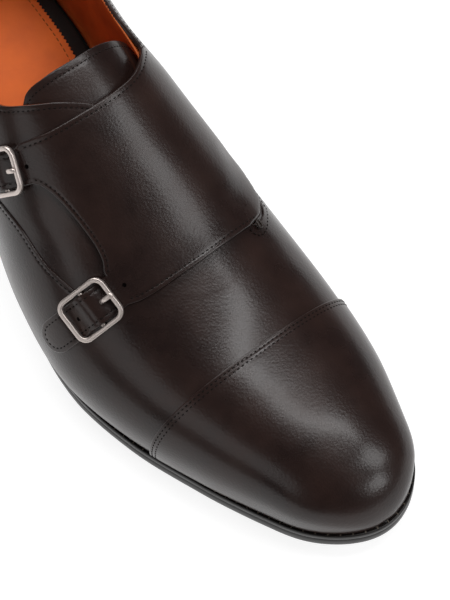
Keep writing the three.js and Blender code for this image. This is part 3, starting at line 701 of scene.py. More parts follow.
@dataclass
class Leather:
    """One cut piece of leather: grids of places on the last, thickened, its cut edges rounded.

    outer gives the height of its face above the last at places (w, v); thickness is measured down from it.
    """

    name: str
    last: Last
    outer: Height
    thickness: float = 1.1
    edge_radius: float = 0.42
    grooves: list[Line] = field(default_factory=list)
    groove_depth: float = 0.1
    groove_width: float = 0.6
    groove_fall: float = 2.5
    softs: list[Soft] = field(default_factory=list)
    weld: float = 0.004
    rim_marks: int = 9
    groove_step: float = 0.25
    soft_step: float = 0.8
    back_rounding: float = 0.4

    def __post_init__(self) -> None:
        """Starts with no grids."""
        self.blocks: list[tuple[Array, Array, Array]] = []

    def add(self, w: Array, v: Array, lift: Array | float = 0.0) -> None:
        """Adds a grid of places, with how far each rises above the piece's own height."""
        self.blocks.append((w, v, np.broadcast_to(np.asarray(lift, float), w.shape)))

    def _gather(self) -> tuple[Array, Array, Array, Faces]:
        """Joins the grids' shared points.

        Returns:
            Stations, shares and lifts of the single points, and the faces over them.
        """
        w, v, lift = (np.concatenate([block[k].reshape(-1) for block in self.blocks]) for k in range(3))
        keys = np.round(self.last.surface(w, v)[0] / self.weld).astype(np.int64)
        _, first, number = np.unique(keys, axis=0, return_index=True, return_inverse=True)
        faces, start = [], 0
        for block in self.blocks:
            ids = number.reshape(-1)[start : start + block[0].size]
            faces += grid_faces(ids.reshape(block[0].shape))
            start += block[0].size
        return w[first], v[first], lift[first], faces

    @staticmethod
    def _rim(faces: Faces) -> list[tuple[int, int]]:
        """Edges used by one face only, each in its face's direction.

        Args:
            faces: The faces.

        Returns:
            The rim's edges.
        """
        seen: dict[tuple[int, int], tuple[int, int, int]] = {}
        for face in faces:
            for a, b in zip(face, face[1:] + face[:1]):
                key = (min(a, b), max(a, b))
                seen[key] = (seen[key][0] + 1 if key in seen else 1, a, b)
        return [(a, b) for count, a, b in seen.values() if count == 1]

    @staticmethod
    def _distances(points: Array, marks: Array) -> Array:
        """Distance from each point to the nearest of a set of marks.

        Args:
            points: The points.
            marks: The marks.

        Returns:
            Distances, mm.
        """
        tree = KDTree(len(marks))
        for i, mark in enumerate(marks):
            tree.insert(mark, i)
        tree.balance()
        return np.array([tree.find(point)[2] for point in points])

    def build(self) -> Mesh:
        """Makes the closed, thickened mesh.

        Returns:
            The mesh object.
        """
        w, v, lift, faces = self._gather()
        points, normals = self.last.surface(w, v)
        rim = self._rim(faces)
        ends = points[np.array(rim)]
        shares = np.linspace(0, 1, self.rim_marks)
        marks = np.concatenate([ends[:, 0] + (ends[:, 1] - ends[:, 0]) * t for t in shares])
        inside = self.edge_radius - np.minimum(self._distances(points, marks), self.edge_radius)
        round_off = self.edge_radius - np.sqrt(self.edge_radius**2 - inside**2)
        height = self.outer(w, v) + lift
        for soft in self.softs:
            gap = self._distances(points, soft.line.marks(self.last, self.soft_step))
            height = height - soft.depth * (1.0 - smoothstep(0.0, soft.width, gap))
        face_height = height - round_off
        for line in self.grooves:
            gap = self._distances(points, line.marks(self.last, self.groove_step)) / self.groove_width
            face_height = face_height - self.groove_depth * np.exp(-self.groove_fall * gap**2)
        back_height = height - self.thickness + self.back_rounding * round_off
        shell = [points + normals * level[:, None] for level in (face_height, back_height)]
        count = len(points)
        faces += [tuple(i + count for i in reversed(face)) for face in faces]
        faces += [(b, a, a + count, b + count) for a, b in rim]
        return mesh_object(self.name, to_metres(self.last, np.concatenate(shell)), faces)


@dataclass
class Stitching:
    """Rows of sewn stitches, each stitch a short thread that dips into the leather at both ends."""

    name: str
    last: Last
    pitch: float = 1.95
    share: float = 0.58
    radius: float = 0.27
    sides: int = 6
    rings: int = 5
    blunt: float = 0.05
    belly: float = 0.5
    sink: float = 0.08
    tip_sink: float = 0.1
    # The bars of a tack: how far each lies ahead of its middle, how far it reaches to each side.
    bars: Rows = ((-1.5, 1.3), (-0.75, 1.9), (0.0, 2.1), (0.75, 1.9), (1.5, 1.4))
    bar_lean: float = 0.12
    binders: Pair = (-0.9, 0.9)
    binder_reach: float = 1.6
    binder_rise: float = 0.35

    def __post_init__(self) -> None:
        """Starts with no stitches."""
        self.points: list[Array] = []
        self.faces: Faces = []
        self.count = 0

    def row(self, line: Line, outer: Height, sink: float = 0.13) -> None:
        """Adds one row along a line of the last.

        Args:
            line: Where the row runs.
            outer: Height of the sewn piece's face.
            sink: How far the thread's middle lies below that face.
        """
        length = line.length(self.last)
        count = max(1, int(length / self.pitch))
        middles = (np.arange(count) + 0.5) * length / count
        half = 0.5 * self.share * length / count
        ends = []
        for where in (middles - half, middles + half):
            place = line.at(self.last, where)
            points, normals = self.last.surface(place.w, place.v)
            ends.append(points + normals * (outer(place.w, place.v) + place.lift - sink)[:, None])
        for start, end, normal in zip(*ends, normals):
            self.stitch(start, end, normal)

    def stitch(self, start: Array, end: Array, normal: Array) -> None:
        """Adds one stitch.

        Args:
            start: One end of the thread.
            end: The other end.
            normal: Out of the leather.
        """
        along, half = unit(end - start), np.linalg.norm(end - start) / 2.0
        side = unit(np.cross(normal, along))
        up, middle = np.cross(along, side), (start + end) / 2.0
        t = -1.0 + 2.0 * (np.arange(self.rings)[:, None, None] + 0.5) / self.rings
        angle = 2.0 * math.pi * np.arange(self.sides)[:, None] / self.sides
        radius = self.radius * np.sqrt(np.maximum(1.0 - t**4, self.blunt))
        centre = middle + along * (t * half) + up * (self.radius * self.belly * (1.0 - t**2) - self.sink)
        tube = centre + (side * np.cos(angle) + up * np.sin(angle)) * radius
        tips = [middle + along * reach - up * self.tip_sink for reach in (-half, half)]
        self.points.append(np.concatenate([tube.reshape(-1, 3), tips]))
        ids = self.count + np.arange(self.rings * self.sides).reshape(self.rings, self.sides)
        tail = self.count + ids.size
        self.faces += grid_faces(ids, around=True)
        self.faces += [(b, a, tail) for a, b in zip(ids[0].tolist(), np.roll(ids[0], -1).tolist())]
        self.faces += [(a, b, tail + 1) for a, b in zip(ids[-1].tolist(), np.roll(ids[-1], -1).tolist())]
        self.count = tail + 2

    def tack(self, w: float, v: float, height: float) -> None:
        """Adds a bar tack: close bars of thread across a place, with two more that bind them.

        Args:
            w: Station of its middle.
            v: Girth share of its middle.
            height: How high its thread lies above the last.
        """
        middle, normal, ahead = self.last.spot(w, v, step_w=1.0)
        side = np.cross(normal, ahead)
        middle = middle + normal * height
        for step, reach in self.bars:
            lean = (side + ahead * self.bar_lean * step) * reach
            self.stitch(middle + ahead * step - lean, middle + ahead * step + lean, normal)
        for step in self.binders:
            across = middle + side * step + normal * self.binder_rise
            self.stitch(across - ahead * self.binder_reach, across + ahead * self.binder_reach, normal)

    def build(self) -> Mesh:
        """Makes one mesh of all the rows."""
        return mesh_object(self.name, to_metres(self.last, np.concatenate(self.points)), self.faces)


# ---- Finishes ----


def linear(code: str) -> tuple[float, float, float, float]:
    """Turns an sRGB hex colour into linear values.

    Args:
        code: Six hex digits after a #.

    Returns:
        Linear red, green, blue and an alpha of 1.
    """
    parts = [int(code[i : i + 2], 16) / 255.0 for i in (1, 3, 5)]
    light = [part / 12.92 if part <= 0.04045 else ((part + 0.055) / 1.055) ** 2.4 for part in parts]
    return (light[0], light[1], light[2], 1.0)


def per_metre(size_mm: float) -> float:
    """Pattern scale at which one cell measures size_mm."""
    return 1.0 / (size_mm * MM)


def add_node(tree: Tree, kind: str, settings: dict | None = None,
             links: dict | None = None) -> bpy.types.Node:
    """Adds one node.

    Args:
        tree: The material's node tree.
        kind: The node's type name, without its ShaderNode.
        settings: Socket values by socket name or number, or node properties by name.
        links: Output sockets to join to the node's inputs, by input name or number.

    Returns:
        The node.
    """
    node = tree.nodes.new("ShaderNode" + kind)
    for key, value in (settings or {}).items():
        if isinstance(key, int) or key in node.inputs:
            node.inputs[key].default_value = value
        else:
            setattr(node, key, value)
    for key, socket in (links or {}).items():
        tree.links.new(socket, node.inputs[key])
    return node


@dataclass(frozen=True)
class Finish:
    """Two tones that a noise mottles, with an uneven gloss and a fine relief.

    Every pattern is laid in the object's own coordinates. A finish says how its real material was made
    and what that gives the eye, and adds what is its own in tone, relief and sockets.
    """

    name: str
    dark: str
    light: str
    roughness: float
    mottle_mm: float
    detail: float = 4.0
    fineness: float = 0.5
    tone_reach: Pair = (0.0, 1.0)
    gloss_reach: Pair = (0.0, 1.0)
    gloss_swing: Pair | None = None
    relief_strength: float = 1.0
    relief_depth_mm: float = 0.0
    ior: float = 1.5
    specular: float = 0.5

    def tone(self, tree: Tree, place: Any, mottled: Any) -> Any:
        """Colour over the surface, from the mottled one."""
        return mottled

    def relief(self, tree: Tree, place: Any, mottle: Any) -> dict[str, Any]:
        """Sockets that the bump reads: its height, and the normal under it if there is one."""
        return {"Height": mottle}

    def sockets(self) -> dict[str, Any]:
        """Shader values that are the same all over."""
        return {"IOR": self.ior, "Specular IOR Level": self.specular}

    def make(self) -> bpy.types.Material:
        """Builds the material.

        Returns:
            The material.
        """
        material = bpy.data.materials.new(self.name)
        material.use_nodes = True
        tree = material.node_tree
        tree.nodes.clear()
        place = add_node(tree, "TexCoord").outputs["Object"]
        noise = {"Scale": per_metre(self.mottle_mm), "Detail": self.detail, "Roughness": self.fineness}
        mottle = add_node(tree, "TexNoise", noise, {"Vector": place}).outputs["Fac"]
        spread = add_node(tree, "MapRange", {"From Min": self.tone_reach[0], "From Max": self.tone_reach[1]},
                          {"Value": mottle})
        tones = {"data_type": "RGBA", 6: linear(self.dark), 7: linear(self.light)}
        mottled = add_node(tree, "Mix", tones, {0: spread.outputs[0]}).outputs[2]
        settings, links = self.sockets(), {"Base Color": self.tone(tree, place, mottled)}
        if self.gloss_swing:
            low, high = (self.roughness + swing for swing in self.gloss_swing)
            rough = add_node(tree, "MapRange", {"From Min": self.gloss_reach[0], "To Min": low,
                                                "From Max": self.gloss_reach[1], "To Max": high},
                             {"Value": mottle})
            links["Roughness"] = rough.outputs[0]
        else:
            settings["Roughness"] = self.roughness
        if self.relief_depth_mm:
            depth = {"Strength": self.relief_strength, "Distance": self.relief_depth_mm * MM}
            links["Normal"] = add_node(tree, "Bump", depth, self.relief(tree, place, mottle)).outputs[0]
        shader = add_node(tree, "BsdfPrincipled", settings, links)
        add_node(tree, "OutputMaterial", links={"Surface": shader.outputs[0]})
        return material


@dataclass(frozen=True)
class PolishedCalf(Finish):
    """Box calf, aniline dyed and wax polished: a deep smooth brown under a thin clear shine."""

    name: str = "polished_calf"
    dark: str = "#1e1311"
    light: str = "#2a1b17"
    worn: str = "#372723"
    roughness: float = 0.29
    mottle_mm: float = 22.0
    fineness: float = 0.55
    tone_reach: Pair = (0.35, 0.68)
    gloss_reach: Pair = (0.3, 0.7)
    gloss_swing: Pair | None = (-0.04, 0.05)
    specular: float = 0.27
    shine: float = 0.17
    shine_roughness: float = 0.17
    speckle_mm: float = 4.0
    speckle_share: float = 0.12
    pore_mm: float = 1.0  # real pores are about 0.15 mm; drawn as coarse as they need to show
    relief_depth_mm: float = 0.038
    grain_mm: float = 2.4
    grain_depth_mm: float = 0.03

    def tone(self, tree: Tree, place: Any, mottled: Any) -> Any:
        """The dyed colour, worn lighter in small speckles.

        Args:
            tree: The node tree.
            place: The object's coordinates.
            mottled: The dyed colour.

        Returns:
            The colour's socket.
        """
        speckle = add_node(tree, "TexNoise", {"Scale": per_metre(self.speckle_mm), "Detail": 3.0},
                           {"Vector": place})
        share = add_node(tree, "MapRange", {"From Min": 0.3, "From Max": 0.75, "To Max": self.speckle_share},
                         {"Value": speckle.outputs["Fac"]})
        return add_node(tree, "Mix", {"data_type": "RGBA", 7: linear(self.worn)},
                        {0: share.outputs[0], 6: mottled}).outputs[2]

    def relief(self, tree: Tree, place: Any, mottle: Any) -> dict[str, Any]:
        """Pores over a soft grain.

        Args:
            tree: The node tree.
            place: The object's coordinates.
            mottle: The tone's noise; not used.

        Returns:
            The pores' height and the grain's normal.
        """
        grain = add_node(tree, "TexNoise", {"Scale": per_metre(self.grain_mm), "Detail": 5.0,
                                            "Roughness": 0.6}, {"Vector": place})
        under = add_node(tree, "Bump", {"Strength": 1.0, "Distance": self.grain_depth_mm * MM},
                         {"Height": grain.outputs["Fac"]})
        pores = add_node(tree, "TexVoronoi", {"Scale": per_metre(self.pore_mm)}, {"Vector": place})
        return {"Height": pores.outputs["Distance"], "Normal": under.outputs[0]}

    def sockets(self) -> dict[str, Any]:
        """Shader values that are the same all over, with the wax's clear coat."""
        return super().sockets() | {"Coat Weight": self.shine, "Coat Roughness": self.shine_roughness}


@dataclass(frozen=True)
class TannedLining(Finish):
    """Vegetable tanned calf lining, undyed but for a tan wash: soft, matte, with open pores."""

    name: str = "tan_lining_calf"
    dark: str = "#9a4519"
    light: str = "#c2602a"
    roughness: float = 0.62
    mottle_mm: float = 14.0
    detail: float = 5.0
    tone_reach: Pair = (0.3, 0.7)
    gloss_swing: Pair | None = (-0.06, 0.08)
    pore_mm: float = 0.7
    relief_strength: float = 0.8
    relief_depth_mm: float = 0.05
    ior: float = 1.46
    specular: float = 0.3

    def relief(self, tree: Tree, place: Any, mottle: Any) -> dict[str, Any]:
        """Open pores."""
        pores = add_node(tree, "TexVoronoi", {"Scale": per_metre(self.pore_mm)}, {"Vector": place})
        return {"Height": pores.outputs["Distance"]}


@dataclass(frozen=True)
class WaxedEdge(Finish):
    """Oak bark sole leather, edge inked and hot waxed: nearly black, with a dull sheen along its layers."""

    name: str = "waxed_sole_leather"
    dark: str = "#131111"
    light: str = "#221d1b"
    roughness: float = 0.36
    mottle_mm: float = 9.0
    gloss_swing: Pair | None = (-0.08, 0.12)
    layer_mm: float = 0.9
    layer_stretch: tuple[float, float, float] = (0.05, 0.05, 1.0)
    relief_strength: float = 0.7
    relief_depth_mm: float = 0.05
    specular: float = 0.3

    def relief(self, tree: Tree, place: Any, mottle: Any) -> dict[str, Any]:
        """Thin flat layers.

        Args:
            tree: The node tree.
            place: The object's coordinates.
            mottle: The tone's noise; not used.

        Returns:
            The layers' height.
        """
        flat = add_node(tree, "Mapping", {"Scale": self.layer_stretch}, {"Vector": place})
        layers = add_node(tree, "TexNoise", {"Scale": per_metre(self.layer_mm), "Detail": 3.0},
                          {"Vector": flat.outputs[0]})
        return {"Height": layers.outputs["Fac"]}


@dataclass(frozen=True)
class MouldedRubber(Finish):
    """Moulded heel rubber: matte black with a fine grit from the mould."""

    name: str = "moulded_heel_rubber"
    dark: str = "#121212"
    light: str = "#222120"
    roughness: float = 0.72
    mottle_mm: float = 0.8
    relief_strength: float = 0.8
    relief_depth_mm: float = 0.06
    ior: float = 1.52


@dataclass(frozen=True)
class SatinNickel(Finish):
    """Zinc casting, tumbled and satin nickel plated: a soft grey metal with faint rubbed streaks."""

    name: str = "satin_nickel"
    dark: str = "#bdb1ab"
    light: str = "#d9cec8"
    roughness: float = 0.42
    mottle_mm: float = 0.5
    gloss_swing: Pair | None = (-0.08, 0.1)
    relief_strength: float = 0.6
    relief_depth_mm: float = 0.008

    def sockets(self) -> dict[str, Any]:
        """Metal all over, with the default IOR."""
        return {"Metallic": 1.0}


@dataclass(frozen=True)
class WaxedThread(Finish):
    """Bonded polyester thread, waxed: twisted plies, darker and duller than the leather round them."""

    name: str = "waxed_thread"
    dark: str = "#0a0706"
    light: str = "#1d1613"
    roughness: float = 0.8
    mottle_mm: float = 0.3
    detail: float = 2.0
    specular: float = 0.12


@dataclass(frozen=True)
class WhitePaper(Finish):
    """White background paper on a light table, matte: a pale, faintly glowing floor without reflections."""

    name: str = "white_paper"
    dark: str = "#949494"
    light: str = "#9c9c9c"
    roughness: float = 0.9
    mottle_mm: float = 3.0
    detail: float = 2.0
    specular: float = 0.1
    glow: float = 0.86

    def sockets(self) -> dict[str, Any]:
        """Nearly no gloss, and the light table's glow."""
        return {"Specular IOR Level": self.specular, "Emission Color": (1.0, 1.0, 1.0, 1.0),
                "Emission Strength": self.glow}


class Finishes:
    """Every material of the shoe, made once."""

    def __init__(self) -> None:
        """Makes the materials."""
        self.calf = PolishedCalf().make()
        self.lining = TannedLining().make()
        # The sock's tones are far lighter than the lining's: partly its own paler tan, partly painted light
        # falling in through the open top.
        self.sock = TannedLining("tan_sock_calf_and_painted_light", "#d06126", "#e26d2b").make()
        # The insole cover shows as a near-black band between the sock's edge and the lining.
        self.board = WaxedEdge("near_black_insole_cover", "#141211", "#201c1a", roughness=0.6).make()
        self.sole = WaxedEdge().make()
        self.rubber = MouldedRubber().make()
        self.nickel = SatinNickel().make()
        # The punched holes are closed discs in near black, painted shade for their dark insides: no gloss at
        # all.
        self.punched = WaxedThread("painted_hole_shade", "#050303", "#0c0908", roughness=1.0,
                                   specular=0.0).make()
        self.thread = WaxedThread().make()
        self.tack_thread = WaxedThread("waxed_tack_thread", "#1b1310", "#362b26", roughness=0.45,
                                       specular=0.35).make()
        self.tan_thread = WaxedThread("tan_thread", "#7a3c1a", "#a5602f").make()
        # The welt's wheeled ridges are a dull light grey brown, far lighter than the inked welt.
        self.ridge = WaxedThread("light_welt_ridge_leather", "#4d453e", "#83786c").make()


def place_piece(piece: Mesh, material: bpy.types.Material, slot: str, *nodes: str) -> Mesh:
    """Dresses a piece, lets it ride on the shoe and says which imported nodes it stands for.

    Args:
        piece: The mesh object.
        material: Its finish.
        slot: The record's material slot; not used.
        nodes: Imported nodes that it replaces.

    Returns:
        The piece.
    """
    piece.data.materials.append(material)
    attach(piece, BODY)
    if nodes:
        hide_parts(*nodes)
    LOG.info("%s: %d vertices", piece.name, len(piece.data.vertices))
    return piece


# ---- Heights of the layers above the last ----

QUARTER_FACE = 0.0
VAMP_FACE = 0.6
CAP_FACE = 1.65
FLAP_FACE = 2.15


def level(height: float) -> Height:
    """A height that is the same at every place."""
    return lambda w, v: np.full(np.shape(w), height, float)


# ---- Straps and buckles: plans shared by leather and metal ----


@dataclass(frozen=True)
class StrapPlan:
    """One strap laid over its buckle: where the buckle's middle is and how the strap runs from it.

    along runs from the buckle's middle to the strap's tip, across to its front edge.
    """

    name: str
    x: float
    s: float
    tilt_deg: float
    width: float = 13.3
    tip_reach: float = 24.8
    root_reach: float = 11.5
    hump: float = 2.45
    hump_reach: float = 8.0
    flare: float = 0.0
    flare_start: float = -7.0
    steps: int = 14
    share_limits: Pair = (-0.99, 0.5)

    def axes(self, last: Last) -> tuple[Array, Array, Array, Array]:
        """The buckle's own frame.

        Args:
            last: The form.

        Returns:
            Its middle on the last, and its axes along, across and out.
        """
        point, out, down = last.spot(self.x, float(last.share(self.x, self.s)), step_v=-0.01)
        tilt = math.radians(self.tilt_deg)
        along = down * math.cos(tilt) - np.cross(out, down) * math.sin(tilt)
        return point, along, np.cross(out, along), out

    def place(self, last: Last, along: Array, across: Array) -> Grid:
        """Places on the last straight under points of the plan, found step by step.

        Args:
            last: The form.
            along: Distances towards the strap's tip.
            across: Distances towards its front edge.

        Returns:
            Stations and girth shares.
        """
        middle, axis_along, axis_across, _ = self.axes(last)
        along, across = np.broadcast_arrays(np.asarray(along, float), np.asarray(across, float))
        w = np.full(along.shape, self.x)
        v = np.full(along.shape, float(last.share(self.x, self.s)))
        step_w, step_v = 0.2, 0.004
        for _ in range(self.steps):
            here = last.surface(w, v)[0]
            by_w = (last.surface(w + step_w, v)[0] - here) / step_w
            by_v = (last.surface(w, v + step_v)[0] - here) / step_v
            wa, wc, va, vc = by_w @ axis_along, by_w @ axis_across, by_v @ axis_along, by_v @ axis_across
            miss_a = along - (here - middle) @ axis_along
            miss_c = across - (here - middle) @ axis_across
            area = wa * vc - wc * va
            w = w + (miss_a * vc - miss_c * va) / area
            v = np.clip(v + (wa * miss_c - wc * miss_a) / area, *self.share_limits)
        return w, v

    def spread(self, along: Array, across: Array) -> Array:
        """Places across the strap, its rear edge flared towards the root."""
        flared = 1.0 - smoothstep(-self.root_reach, self.flare_start, along)
        return across - self.flare * flared * (0.5 - across / self.width)

    def rise(self, along: Array) -> Array:
        """How far the strap rises over the buckle's centre bar."""
        hump = self.hump * np.cos(math.pi * along / (2 * self.hump_reach)) ** 2
        return np.where(np.abs(along) < self.hump_reach, hump, 0.0)


FRONT_STRAP = StrapPlan("front", x=182.0, s=-40.0, tilt_deg=8.5)
REAR_STRAP = StrapPlan("rear", x=127.0, s=-45.6, tilt_deg=37.0, flare=2.0)


# ---- Edges of the upper's pieces ----

# Upper edges of the vamp's wings, from beside the tack or strap back and down to the feather: x, share.
LATERAL_WING = ((180, -0.419), (171, -0.452), (158.5, -0.484), (143, -0.498), (129.5, -0.552),
                (117, -0.635), (105, -0.740), (95, -0.865), (89, -0.985))
MEDIAL_WING = ((180, 0.520), (172.5, 0.555), (164, 0.600), (157, 0.635), (150, 0.660), (138, 0.695),
               (124, 0.735), (110, 0.795), (98, 0.885), (91, 0.985))
# The vamp's rear edge, hidden under the flap but for the short part below the tack: share, x.
VAMP_REAR = ((-1, 180), (-0.30, 180), (0.30, 180), (0.34, 184), (0.362, 187), (0.38, 187.3),
             (0.416, 186.6), (0.44, 185.5), (0.474, 183.8), (0.507, 181), (0.520, 180), (1, 180))
# Where the flap dives under the vamp's medial edge: x, millimetres round from the ridge, how many it takes.
SLIT = ((118, 56, 15), (140, 57.5, 13), (154, 56.5, 9), (164, 53, 5), (172.5, 48.6, 3.6), (178, 45.6, 3.4),
        (181, 42.1, 3.3), (184, 38.4, 3.4), (185.5, 35.3, 3.6), (186.5, 33.1, 4), (187.3, 31.2, 4))
# The row sewn round the tack at the flap's medial foot, and the tack's middle: x, share.
TACK_ROW = ((180, 0.552), (183.5, 0.511), (188, 0.455), (190.9, 0.408), (191.7, 0.368), (190.5, 0.338),
            (188.2, 0.33))
TACK = (187.7, 0.388)
TACK_RISE = 0.45
# The flap's edges: millimetres round from the ridge, x.
FLAP_TOP = ((-31.05, 126.87), (-27, 128.5), (-20, 130.8), (-13, 132), (-6, 132.5), (1, 132.5), (8, 131.8),
            (15, 130.2), (21, 127.3), (27, 123.2), (34, 118.2))
FLAP_FRONT = ((-27.82, 189.13), (-23, 190.7), (-16, 191.5), (-5, 191.5), (5, 191), (14, 190), (34, 186.5))
FLAP_MEDIAL_S = 34.0
# The flap's scooped edge between its straps: x, millimetres round from the ridge.
FLAP_SCOOP = ((141.5, -32.4), (146.5, -29.9), (153, -28.2), (161, -26.9), (168, -26.4), (173, -27.2),
              (176, -29))
# The tongue's top edge: share across from its lateral side to its medial side, x.
TONGUE_TOP = ((-1, 118.5), (-0.86, 115.7), (-0.6, 116), (-0.2, 116.3), (0.2, 114.8), (0.6, 112.6),
              (0.86, 111.8), (1, 114))


# ---- The upper ----


@dataclass
class UpperPart:
    """A part of the upper: it lays its pieces on the last and dresses them in the shoe's finishes."""

    last: Last
    finishes: Finishes


Sewn = list[tuple[Line, Height]]


@dataclass
class Vamp(UpperPart):
    """The vamp over the toes, with a wing running back low on each side over the quarters."""

    thickness: float = 1.0
    step: float = 1.2
    columns: int = 100
    middle_columns: int = 78
    cap_overlap: float = 12.0
    wing_tuck: float = 0.4
    stitch_inset: float = 1.8
    # Soft creases across the joint of the toes and beside the tack: places, points, depth, width.
    creases: tuple[tuple[Rows, int, float, float], ...] = (
        (((190, -0.2), (188, -0.05), (187.5, 0.08), (188, 0.2), (190, 0.34)), 60, 0.3, 15.0),
        (((200, -0.12), (203, -0.04), (204.5, 0.05), (204, 0.13)), 40, 0.025, 3.0),
        (((197, -0.06), (199.5, 0.0), (200.5, 0.08)), 30, 0.02, 2.6),
        (((194, 0.33), (199, 0.42), (203, 0.52)), 40, 0.08, 7.0),
    )

    def wing_edge(self, side: Side) -> Line:
        """The wing's upper edge, from front to back."""
        rows = LATERAL_WING if side is Side.LATERAL else MEDIAL_WING
        return Line.through(self.last, rows, self.columns)

    def stitch_line(self, side: Side) -> Line:
        """Where the wing is sewn down, inside its edge."""
        return self.wing_edge(side).beside(self.last, -side.value * self.stitch_inset)

    def rows(self) -> Sewn:
        """The sewn rows, with the height of the leather that they lie in."""
        return [(self.stitch_line(side), level(VAMP_FACE)) for side in Side]

    def _wing(self, side: Side) -> Grid:
        """The wing's grid, from its edge down to the feather.

        Args:
            side: Which wing.

        Returns:
            Stations and girth shares.
        """
        edge = self.wing_edge(side)
        foot = Line(np.linspace(edge.w[0], edge.w[-1] - self.wing_tuck, self.columns),
                    np.full(self.columns, float(side.value)))
        w, v = ruled(self.last, edge, foot, CUT_EDGE, PLAIN_EDGE, self.step)
        w[:, 0] = edge.w[0]
        return w, v

    def build(self) -> Mesh:
        """Makes the vamp.

        Returns:
            The dressed piece.
        """
        softs = [Soft(Line.through(self.last, rows, count), *size) for rows, count, *size in self.creases]
        leather = Leather("vamp", self.last, level(VAMP_FACE), self.thickness, softs=softs,
                          grooves=[self.stitch_line(side) for side in Side])
        lateral, medial = self._wing(Side.LATERAL), self._wing(Side.MEDIAL)
        leather.add(*lateral)
        leather.add(*medial)
        middle = np.linspace(lateral[1][0, 0], medial[1][0, 0], self.middle_columns + 2)[1:-1]
        shares = np.concatenate([lateral[1][::-1, 0], middle, medial[1][:, 0]])
        start = Line(np.interp(shares, *np.array(VAMP_REAR).T), shares)
        end = Line(ToeCap.seam_x(shares) + self.cap_overlap, shares)
        leather.add(*ruled(self.last, start, end, CUT_EDGE, PLAIN_EDGE, self.step))
        return place_piece(leather.build(), self.finishes.calf, "upper_leather", "upper")


@dataclass
class ToeCap(UpperPart):
    """The straight toe cap, sewn over the vamp with two close rows."""

    thickness: float = 1.05
    columns: int = 121
    inner_rows: int = 54
    stitch_insets: Pair = (1.25, 2.75)
    groove_width: float = 0.62

    @staticmethod
    def seam_x(v: Array) -> Array:
        """Station of the cap's rear edge at girth shares."""
        middle, bow, centre = 227.4, 6.5, -0.3
        return middle - bow * (np.asarray(v, float) - centre) ** 2

    def seam(self) -> Line:
        """The cap's rear edge from the lateral feather to the medial one."""
        shares = np.linspace(-1.0, 1.0, self.columns)
        return Line(self.seam_x(shares), shares)

    def stitch_lines(self) -> list[Line]:
        """The two rows, in front of the edge."""
        return [self.seam().beside(self.last, -inset) for inset in self.stitch_insets]

    def rows(self) -> Sewn:
        """The sewn rows, with the height of the leather that they lie in."""
        return [(line, level(CAP_FACE)) for line in self.stitch_lines()]

    def build(self) -> Mesh:
        """Makes the cap.

        Returns:
            The dressed piece.
        """
        seam = self.seam()

        def stations(turns: Array) -> Array:
            """Stations from the seam, at a turn of 0, to the tip, at a right angle."""
            return seam.w + (self.last.tip - seam.w) * np.sin(turns)

        turns = np.linspace(0.0, RIGHT_ANGLE, 61)
        points = self.last.surface(stations(turns[:, None]), seam.v)[0]
        rows = []
        for j in range(self.columns):
            run = run_length(points[:, j])
            rows.append(np.interp(spacing(run[-1], CUT_EDGE, (0.0,), self.inner_rows), run, turns))
        w = stations(np.stack(rows, 1))
        leather = Leather("toe_cap_leather", self.last, level(CAP_FACE), self.thickness,
                          grooves=self.stitch_lines(), groove_width=self.groove_width)
        leather.add(w, np.broadcast_to(seam.v, w.shape))
        return place_piece(leather.build(), self.finishes.calf, "upper_leather", "toe_cap")


@dataclass
class LateralQuarter(UpperPart):
    """The outer side of the upper, from the back seam to under the flap."""

    thickness: float = 1.1
    step: float = 1.3
    columns: int = 200
    front: float = 186.0
    throat: float = 133.0
    stitch_inset: float = 2.0
    # A hollow under the ankle and a swell under the front strap: places, depth, width.
    creases: tuple[tuple[Rows, float, float], ...] = (
        (((70, -0.60), (88, -0.62), (104, -0.60)), 0.35, 12.0),
        (((150, -0.40), (160, -0.38), (170, -0.40)), -0.25, 8.0),
    )

    def edge(self) -> Line:
        """The collar and throat edge, from the back seam forwards.

        Returns:
            The line, its points evenly spaced.
        """
        w = np.linspace(self.last.back_w, self.front, 600)
        line = Line(w, -self.last.collar(np.minimum(w, self.throat), Side.LATERAL))
        return line.at(self.last, np.linspace(0.0, line.length(self.last), self.columns))

    def stitch_line(self) -> Line:
        """The row just under the collar edge, as far as the throat.

        Returns:
            The line.
        """
        edge = self.edge()
        seen = edge.w < self.throat - 1.0
        return Line(edge.w[seen], edge.v[seen]).beside(self.last, -self.stitch_inset)

    def rows(self) -> Sewn:
        """The sewn row, with the height of the leather that it lies in."""
        return [(self.stitch_line(), level(QUARTER_FACE))]

    def build(self) -> Mesh:
        """Makes the quarter.

        Returns:
            The dressed piece.
        """
        edge = self.edge()
        softs = [Soft(Line.through(self.last, rows, 40), *size) for rows, *size in self.creases]
        leather = Leather("lateral_quarter", self.last, level(QUARTER_FACE), self.thickness,
                          grooves=[self.stitch_line()], softs=softs)
        foot = Line(edge.w, np.full(self.columns, -1.0))
        leather.add(*ruled(self.last, edge, foot, CUT_EDGE, PLAIN_EDGE, self.step))
        return place_piece(leather.build(), self.finishes.calf, "upper_leather", "upper")


